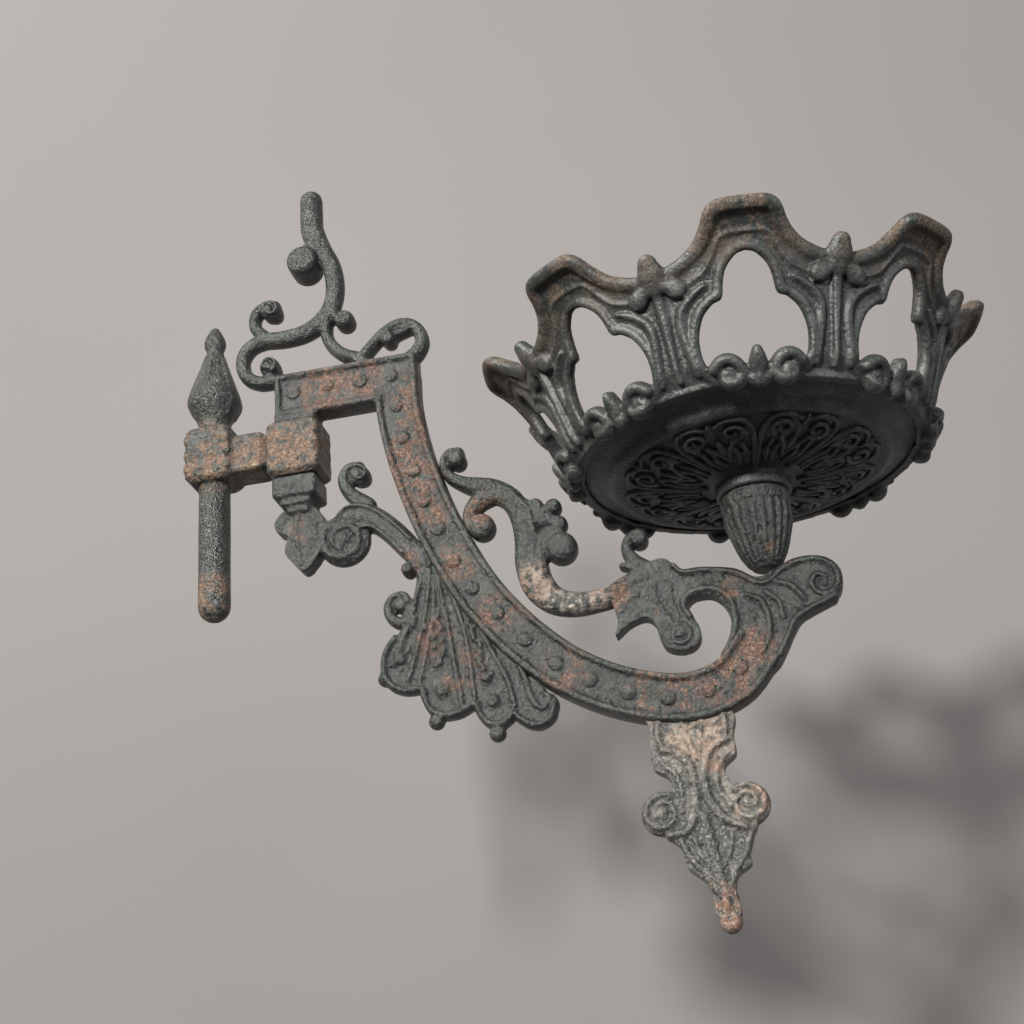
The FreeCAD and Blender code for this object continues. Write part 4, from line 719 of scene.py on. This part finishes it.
def make(tree, kind, sockets, **settings):
    # one node: a socket is linked where it is given another's output, and set where it is given a value
    node = tree.nodes.new(kind)
    for key, value in settings.items():
        setattr(node, key, value)
    for key, value in sockets.items():
        if isinstance(value, bpy.types.NodeSocket):
            tree.links.new(value, node.inputs[key])
        else:
            node.inputs[key].default_value = value
    return node


def sums(tree, kind, *values):
    return make(tree, "ShaderNodeMath", dict(enumerate(values)), operation=kind).outputs[0]


def paintedCopies(tree, start, end, copies):
    real = make(tree, "GeometryNodeRealizeInstances", {0: copies.outputs[0]})
    paint = make(tree, "GeometryNodeSetMaterial", {
        "Geometry": real.outputs[0], "Material": start["Material"]})
    tree.links.new(paint.outputs[0], end[0])


def ringTree():
    # copies in a ring round an upright axis
    tree, start, end = openGroup("RingOfCopies", "Geometry", {
        "Geometry": "Geometry", "Count": "Int", "First Angle": "Float", "Axis": "Vector",
        "Material": "Material"}, {"Geometry": "Geometry"})
    points = make(tree, "GeometryNodePoints", {"Count": start["Count"], "Position": start["Axis"]})
    share = sums(tree, "DIVIDE", make(tree, "GeometryNodeInputIndex", {}).outputs[0], start["Count"])
    turn = sums(tree, "MULTIPLY_ADD", share, 2 * math.pi, start["First Angle"])
    spin = make(tree, "ShaderNodeCombineXYZ", {"Z": turn})
    copies = make(tree, "GeometryNodeInstanceOnPoints", {
        "Points": points.outputs[0], "Instance": start["Geometry"], "Rotation": spin.outputs[0]})
    paintedCopies(tree, start, end, copies)
    return tree


def domeTree():
    # flattened domes on points, each a little different in size
    tree, start, end = openGroup("DomesOnPoints", "Geometry", {
        "Geometry": "Geometry", "Radius": "Float", "Flatness": "Float", "Spread": "Float", "Seed": "Int",
        "Material": "Material"}, {"Geometry": "Geometry"})
    ball = make(tree, "GeometryNodeMeshUVSphere", {"Segments": 24, "Rings": 12, "Radius": start["Radius"]})
    least = sums(tree, "SUBTRACT", 1, start["Spread"])
    vary = make(tree, "FunctionNodeRandomValue", {2: least, 3: 1, "Seed": start["Seed"]}).outputs[1]
    scale = make(tree, "ShaderNodeCombineXYZ", {
        "X": vary, "Y": sums(tree, "MULTIPLY", vary, start["Flatness"]), "Z": vary})
    copies = make(tree, "GeometryNodeInstanceOnPoints", {
        "Points": start["Geometry"], "Instance": ball.outputs["Mesh"], "Scale": scale.outputs[0]})
    paintedCopies(tree, start, end, copies)
    return tree


def grow(obj, tree, values):
    step = obj.modifiers.new("grow", "NODES")
    step.node_group = tree
    for item in tree.interface.items_tree:
        if item.item_type == "SOCKET" and item.in_out == "INPUT" and item.name in values:
            step[item.identifier] = values[item.name]
    bake(obj, "grown")


# Stage 7: materials
def grainGroup():
    # sand-cast grain: height for a bump and a mask of pits
    group, start, end = openGroup("CastGrain", "Shader", {"Vector": "Vector", "Size": "Float"},
                                  {"Height": "Float", "Pits": "Float"})
    place, size = start["Vector"], start["Size"]
    fine = make(group, "ShaderNodeTexNoise", {"Vector": place, "Scale": size, "Detail": 4, "Roughness": 0.62})
    coarse = make(group, "ShaderNodeTexNoise", {
        "Vector": place, "Scale": sums(group, "MULTIPLY", size, 0.22), "Detail": 2})
    pit = make(group, "ShaderNodeTexVoronoi", {"Vector": place, "Scale": sums(group, "MULTIPLY", size, 0.6)})
    level = make(group, "ShaderNodeMapRange", {
        "Value": pit.outputs["Distance"], "From Min": 0.05, "From Max": 0.35}).outputs[0]
    both = sums(group, "MULTIPLY_ADD", coarse.outputs[0], 0.8, fine.outputs[0])
    group.links.new(sums(group, "MULTIPLY_ADD", level, 0.25, both), end["Height"])
    group.links.new(sums(group, "SUBTRACT", 1, level), end["Pits"])
    return group


def patchGroup():
    # soft-edged patches, more of them as Amount rises
    group, start, end = openGroup("WornPatches", "Shader", {
        "Vector": "Vector", "Scale": "Float", "Amount": "Float"}, {"Mask": "Float"})
    large = make(group, "ShaderNodeTexNoise", {
        "Vector": start["Vector"], "Scale": start["Scale"], "Detail": 6, "Roughness": 0.68})
    edge = sums(group, "MULTIPLY_ADD", start["Amount"], -0.5, 0.78)
    mask = make(group, "ShaderNodeMapRange", {
        "Value": large.outputs[0], "From Min": edge, "From Max": sums(group, "ADD", edge, 0.1)},
        interpolation_type="SMOOTHSTEP")
    group.links.new(mask.outputs[0], end["Mask"])
    return group


def spotGroup():
    # a soft round place on the arm, seen from its face: centre and radius in metres
    group, start, end = openGroup("SoftSpot", "Shader", {
        "Vector": "Vector", "Centre": "Vector", "Radius": "Float"}, {"Mask": "Float"})
    flat = make(group, "ShaderNodeVectorMath", {0: start["Vector"], 1: (1, 0, 1)}, operation="MULTIPLY")
    away = make(group, "ShaderNodeVectorMath", {0: flat.outputs[0], 1: start["Centre"]}, operation="DISTANCE")
    fade = make(group, "ShaderNodeMapRange", {
        "Value": away.outputs["Value"], "From Min": start["Radius"], "From Max": 0},
        interpolation_type="SMOOTHSTEP")
    group.links.new(fade.outputs[0], end["Mask"])
    return group


grain, patches, spot = grainGroup(), patchGroup(), spotGroup()
# each iron's colours, how much rust and dust it has, and x, z, radius of its rusty and bare places
looks = {
    "painted_iron": {
        "paint": (0.023, 0.027, 0.024), "high": (0.066, 0.071, 0.064), "rust": (0.115, 0.058, 0.040),
        "pale": (0.27, 0.185, 0.13), "dust": (0.36, 0.32, 0.24), "rustAmount": 0.30, "dustAmount": 0.24,
        "gloss": 0.31, "bump": 1, "speck": 0.5,
        "spots": [(62, 6, 15), (64, -10, 13), (61.5, 22, 10), (70, -22, 8), (77, -39, 9), (88, -57, 8),
                  (106, -77, 9), (133, -87, 13), (150, -86, 11), (38, 27, 13), (52, 28, 9), (69, -62, 9),
                  (76, -72, 9), (157, -60, 6), (160, -78, 8), (86, -24, 8), (99, -52, 11), (121, -56, 8),
                  (60, -38, 8), (30, -20, 6)],
        "shine": [(100, -48, 8), (104, -54, 8), (110, -57, 8), (117, -57, 7)]},
    # the cup's last pair: heights over which brown wear and painted light grow towards the rim
    "cup_iron": {
        "paint": (0.032, 0.036, 0.033), "high": (0.088, 0.094, 0.087), "rust": (0.085, 0.056, 0.040),
        "pale": (0.21, 0.165, 0.12), "dust": (0.26, 0.22, 0.16), "rustAmount": 0.26, "dustAmount": 0.12,
        "gloss": 0.40, "bump": 0.40, "speck": 0.35, "spots": [], "shine": [], "wornAndLitRim": (0.002, 0.016)},
    "link_iron": {
        "paint": (0.028, 0.032, 0.029), "high": (0.092, 0.094, 0.083), "rust": (0.16, 0.09, 0.058),
        "pale": (0.30, 0.225, 0.155), "dust": (0.42, 0.36, 0.22), "rustAmount": 0.36, "dustAmount": 0.34,
        "gloss": 0.29, "bump": 1, "speck": 0.6, "shine": [],
        "spots": [(-1, 9, 16), (28, 7, 15), (14, 8, 11), (3, -38, 12)]},
    "tail_iron": {
        "paint": (0.044, 0.047, 0.043), "high": (0.20, 0.19, 0.17), "rust": (0.20, 0.10, 0.06),
        "pale": (0.40, 0.32, 0.26), "dust": (0.44, 0.39, 0.32), "rustAmount": 0.42, "dustAmount": 0.36,
        "gloss": 0.30, "bump": 1, "speck": 0.7, "spots": [(142, -148, 11), (140, -100, 11), (152, -121, 9)],
        "shine": [(140, -100, 18), (150, -120, 9)]}}
# patches: scale, amount. specks: scale and the range that they are cut from
# wear of the paint, rust and dust, and painted light: painted shade in the hollows and pits, a painted
# highlight partly on the edges and the light specks, painted light at the cup's rim
wearAndPaintedLight = {
    "grainSize": 800, "grainDeep": 0.0009, "edges": (0.512, 0.575), "shadedHollows": (0.498, 0.44),
    "highPatches": (140, 0.55), "rustScale": 50, "dustScale": 95, "wornAndLitRimPatches": (110, 0.68),
    "spotPatches": ((90, 0.75), (420, 0.72)), "spotGain": 2.2,
    "lightSpecks": (1500, 0.54, 0.64), "tanSpecks": (1300, 0.50, 0.60), "dustSpecks": (700, 0.40, 0.60),
    "bareSpecks": (420, 0.42, 0.58), "bareIron": (0.52, 0.46, 0.38), "wornRoughness": 0.8,
    "plainMetal": 0.05, "bareMetal": 0.5, "speckLight": 1.7, "hollowLight": 0.3, "pitLight": 0.4}
# how strongly each layer covers what is below it
cover = {"patches": 0.6, "edges": 0.55, "rust": 0.8, "tan": 0.8, "dust": 0.75, "bare": 0.55,
         "shadedHollows": 0.75, "pits": 0.45}


def ironMaterial(name, look):
    material = bpy.data.materials.new(name)
    material.use_nodes = True
    tree = material.node_tree
    tree.nodes.clear()
    place = tree.nodes.new("ShaderNodeTexCoord").outputs["Object"]

    def clamped(kind, a, b):
        node = make(tree, "ShaderNodeMath", {0: a, 1: b}, operation=kind, use_clamp=True)
        return node.outputs[0]

    def patch(scale, amount):
        values = {"Scale": scale, "Amount": amount, "Vector": place}
        return make(tree, "ShaderNodeGroup", values, node_tree=patches).outputs["Mask"]

    def ranged(value, low, high):
        values = {"Value": value, "From Min": low, "From Max": high}
        return make(tree, "ShaderNodeMapRange", values).outputs[0]

    def specks(scale, low, high):
        values = {"Vector": place, "Scale": scale, "Detail": 3, "Roughness": 0.7}
        return ranged(make(tree, "ShaderNodeTexNoise", values).outputs[0], low, high)

    def coat(base, mask, share, colour):
        # a colour laid over the base, as strong as the mask and its share
        values = {0: clamped("MULTIPLY", mask, share), 6: base, 7: (*colour, 1)}
        return make(tree, "ShaderNodeMix", values, data_type="RGBA").outputs[2]

    def shade(key, light):
        return [v * light for v in look[key]]

    def spots(places):
        total = None
        for x, z, r in places:
            values = {"Centre": (x * mm, 0, z * mm), "Radius": r * mm, "Vector": place}
            mask = make(tree, "ShaderNodeGroup", values, node_tree=spot).outputs["Mask"]
            total = clamped("MAXIMUM", total, mask) if total else mask
        return total

    shape = tree.nodes.new("ShaderNodeNewGeometry").outputs["Pointiness"]
    casting = make(tree, "ShaderNodeGroup", {"Size": wearAndPaintedLight["grainSize"], "Vector": place},
                   node_tree=grain).outputs
    base = coat((*look["paint"], 1), patch(*wearAndPaintedLight["highPatches"]), cover["patches"], look["high"])
    # lighter paint on convex edges: partly edge wear, partly painted highlight
    base = coat(base, ranged(shape, *wearAndPaintedLight["edges"]), cover["edges"], look["high"])
    # light specks in the paint, partly painted glints off the grain
    base = coat(base, specks(*wearAndPaintedLight["lightSpecks"]), look["speck"], shade("high", wearAndPaintedLight["speckLight"]))
    rusty = patch(wearAndPaintedLight["rustScale"], look["rustAmount"])
    near = spots(look["spots"])
    if near:
        broken = clamped("MULTIPLY", *(patch(*values) for values in wearAndPaintedLight["spotPatches"]))
        near = clamped("MULTIPLY", near, wearAndPaintedLight["spotGain"])
        rusty = clamped("MAXIMUM", rusty, clamped("MULTIPLY", near, broken))
    if "wornAndLitRim" in look:
        # brown wear and painted light on the raised parts towards the rim, lighter higher up; it joins the
        # rust mask
        height = make(tree, "ShaderNodeSeparateXYZ", {0: place}).outputs["Z"]
        wornAndLit = clamped("MULTIPLY", ranged(height, *look["wornAndLitRim"]), patch(*wearAndPaintedLight["wornAndLitRimPatches"]))
        rusty = clamped("MAXIMUM", rusty, wornAndLit)
    base = coat(base, rusty, cover["rust"], look["rust"])
    base = coat(base, clamped("MULTIPLY", rusty, specks(*wearAndPaintedLight["tanSpecks"])), cover["tan"], look["pale"])
    dusty = clamped("MULTIPLY", patch(wearAndPaintedLight["dustScale"], look["dustAmount"]), specks(*wearAndPaintedLight["dustSpecks"]))
    base = coat(base, dusty, cover["dust"], look["dust"])
    metallic = wearAndPaintedLight["plainMetal"]
    bare = spots(look["shine"])
    if bare:
        bare = clamped("MULTIPLY", bare, specks(*wearAndPaintedLight["bareSpecks"]))
        base = coat(base, bare, cover["bare"], wearAndPaintedLight["bareIron"])
        metallic = clamped("MULTIPLY", bare, wearAndPaintedLight["bareMetal"])
    # painted shade: the paint darker in the hollows and creases, where shade falls
    base = coat(base, ranged(shape, *wearAndPaintedLight["shadedHollows"]), cover["shadedHollows"], shade("paint", wearAndPaintedLight["hollowLight"]))
    # painted shade: the paint darker in the casting's pits
    base = coat(base, casting["Pits"], cover["pits"], shade("paint", wearAndPaintedLight["pitLight"]))
    rough = make(tree, "ShaderNodeMapRange", {
        "Value": clamped("MAXIMUM", rusty, dusty), "To Min": look["gloss"], "To Max": wearAndPaintedLight["wornRoughness"]})
    relief = make(tree, "ShaderNodeBump", {
        "Strength": look["bump"], "Distance": wearAndPaintedLight["grainDeep"], "Height": casting["Height"]})
    shader = make(tree, "ShaderNodeBsdfPrincipled", {
        "Base Color": base, "Metallic": metallic, "Roughness": rough.outputs[0], "Normal": relief.outputs[0]})
    make(tree, "ShaderNodeOutputMaterial", {"Surface": shader.outputs[0]})
    return material


def cloudMaterial(name, stretch, scale, detail, colours, metallic, roughness):
    # noise between two colours, along Object coordinates
    material = bpy.data.materials.new(name)
    material.use_nodes = True
    tree = material.node_tree
    place = tree.nodes.new("ShaderNodeTexCoord").outputs["Object"]
    mapping = make(tree, "ShaderNodeMapping", {"Vector": place, "Scale": stretch})
    noise = make(tree, "ShaderNodeTexNoise", {"Vector": mapping.outputs[0], "Scale": scale, "Detail": detail})
    ramp = make(tree, "ShaderNodeValToRGB", {0: noise.outputs[0]})
    for element, colour in zip(ramp.color_ramp.elements, colours):
        element.color = (*colour, 1)
    shader = tree.nodes["Principled BSDF"]
    tree.links.new(ramp.outputs[0], shader.inputs["Base Color"])
    shader.inputs["Metallic"].default_value = metallic
    shader.inputs["Roughness"].default_value = roughness
    return material


def dress(obj, material):
    obj.data.materials.clear()
    obj.data.materials.append(material)


irons = {name: ironMaterial(name, look) for name, look in looks.items()}
steel = cloudMaterial("rod_steel", stretch=(900, 900, 60), scale=1, detail=3,
                      colours=[(0.12, 0.09, 0.07), (0.33, 0.29, 0.26)], metallic=0.9, roughness=0.42)
for obj in (framePiece, palmPiece, socketPiece, *armPieces.values()):
    dress(obj, irons["painted_iron"])
dress(linkPiece, irons["link_iron"])
dress(armPieces["tail_pendant"], irons["tail_iron"])
for name in ("arm_pivot_pin", "cup_screw"):
    dress(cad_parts[name], steel)
print("materials", len(bpy.data.materials))

# Stage 8: what repeats, round the cup's axis and along the bar
cupTurn = math.radians(6.2)
postTurn = cupTurn + math.radians(eighth)
ring, domes = ringTree(), domeTree()
for obj, count, turn in ((galleryEighth, copies, postTurn), (panelPart, copies, postTurn),
                         (dishPiece, 1, cupTurn)):
    grow(obj, ring, {"Count": count, "First Angle": turn, "Axis": (reach * mm, 0.0, 0.0),
                     "Material": irons["cup_iron"]})
galleryEighth.name = "cup_gallery_casting"
panelPart.name = "cup_dish_panels"
for obj in (galleryEighth, panelPart, dishPiece):
    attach(obj, "arm")
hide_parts("lamp_cup")

points = bpy.data.meshes.new("bar_bosses")
points.from_pydata([(x * mm, y * mm, z * mm) for x, z in bossForm["centres"]
                    for y in (-bossForm["faceY"], bossForm["faceY"])], [], [])
bosses = addObject("bar_bosses", points)
grow(bosses, domes, {"Radius": bossForm["radius"] * mm, "Flatness": bossForm["flatness"],
                     "Spread": bossForm["spread"], "Seed": bossForm["seed"],
                     "Material": irons["painted_iron"]})
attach(bosses, "arm")

# Stage 9: backdrop, lights and camera, in metres
paperY, paperHalf = 0.26, 3
middle = (0.11, 0, -0.03)
# place, power, size, tint
lamps = {"key": ((-0.22, -1.30, 0.24), 28, 0.20, (1.0, 0.97, 0.94)),
         "top": ((-0.55, -0.65, 0.85), 13, 0.35, (1.0, 0.98, 0.95)),
         "side": ((1.1, -0.7, 0.05), 4, 0.6, (0.92, 0.96, 1.0))}
sky = {"colour": (0.62, 0.63, 0.65, 1), "strength": 0.17}
# the photograph's view: where the eye is, and which ways are right, down and forward in the picture
view = {"lens": 52.17, "sensor": 36, "clip": (0.01, 20), "place": (0.1608, -0.3999, -0.2093),
        "right": (0.9767, 0.1993, -0.0799), "down": (-0.1544, 0.3931, -0.9064),
        "forward": (-0.1492, 0.8976, 0.4148)}

sheet = bpy.data.meshes.new("paper")
sheet.from_pydata([(x * paperHalf, paperY, z * paperHalf) for x, z in ((-1, -1), (1, -1), (1, 1), (-1, 1))],
                  [], [(0, 1, 2, 3)])
paper = addObject("paper", sheet)
paperLook = cloudMaterial("paper", stretch=(1, 1, 1), scale=3, detail=2,
                          colours=[(0.205, 0.194, 0.188), (0.250, 0.237, 0.230)], metallic=0, roughness=0.9)
tree = paperLook.node_tree
# from behind, the sheet is clear
clear = make(tree, "ShaderNodeBsdfTransparent", {})
choose = make(tree, "ShaderNodeMixShader", {
    0: make(tree, "ShaderNodeNewGeometry", {}).outputs["Backfacing"],
    1: tree.nodes["Principled BSDF"].outputs[0], 2: clear.outputs[0]})
tree.links.new(choose.outputs[0], tree.nodes["Material Output"].inputs["Surface"])
dress(paper, paperLook)

for name, (place, power, size, tint) in lamps.items():
    data = bpy.data.lights.new(name, "AREA")
    data.shape = "DISK"
    data.energy, data.size, data.color = power, size, tint
    lamp = addObject(name, data)
    lamp.location = place
    lamp.rotation_euler = (Vector(middle) - Vector(place)).to_track_quat("-Z", "Y").to_euler()
world = bpy.data.worlds.new("studio")
bpy.context.scene.world = world
world.use_nodes = True
for i, value in enumerate((sky["colour"], sky["strength"])):
    world.node_tree.nodes["Background"].inputs[i].default_value = value

camera = bpy.data.cameras.new("photo_view")
camera.lens, camera.sensor_width = view["lens"], view["sensor"]
camera.clip_start, camera.clip_end = view["clip"]
eye = addObject("photo_view", camera)
turn = [[view["right"][i], -view["down"][i], -view["forward"][i]] for i in range(3)]
eye.rotation_mode = "QUATERNION"
eye.rotation_quaternion = Matrix(turn).to_quaternion()
eye.location = view["place"]
bpy.context.scene.camera = eye
bpy.context.scene.view_settings.view_transform = "Standard"
print("lamps and camera", len(lamps))
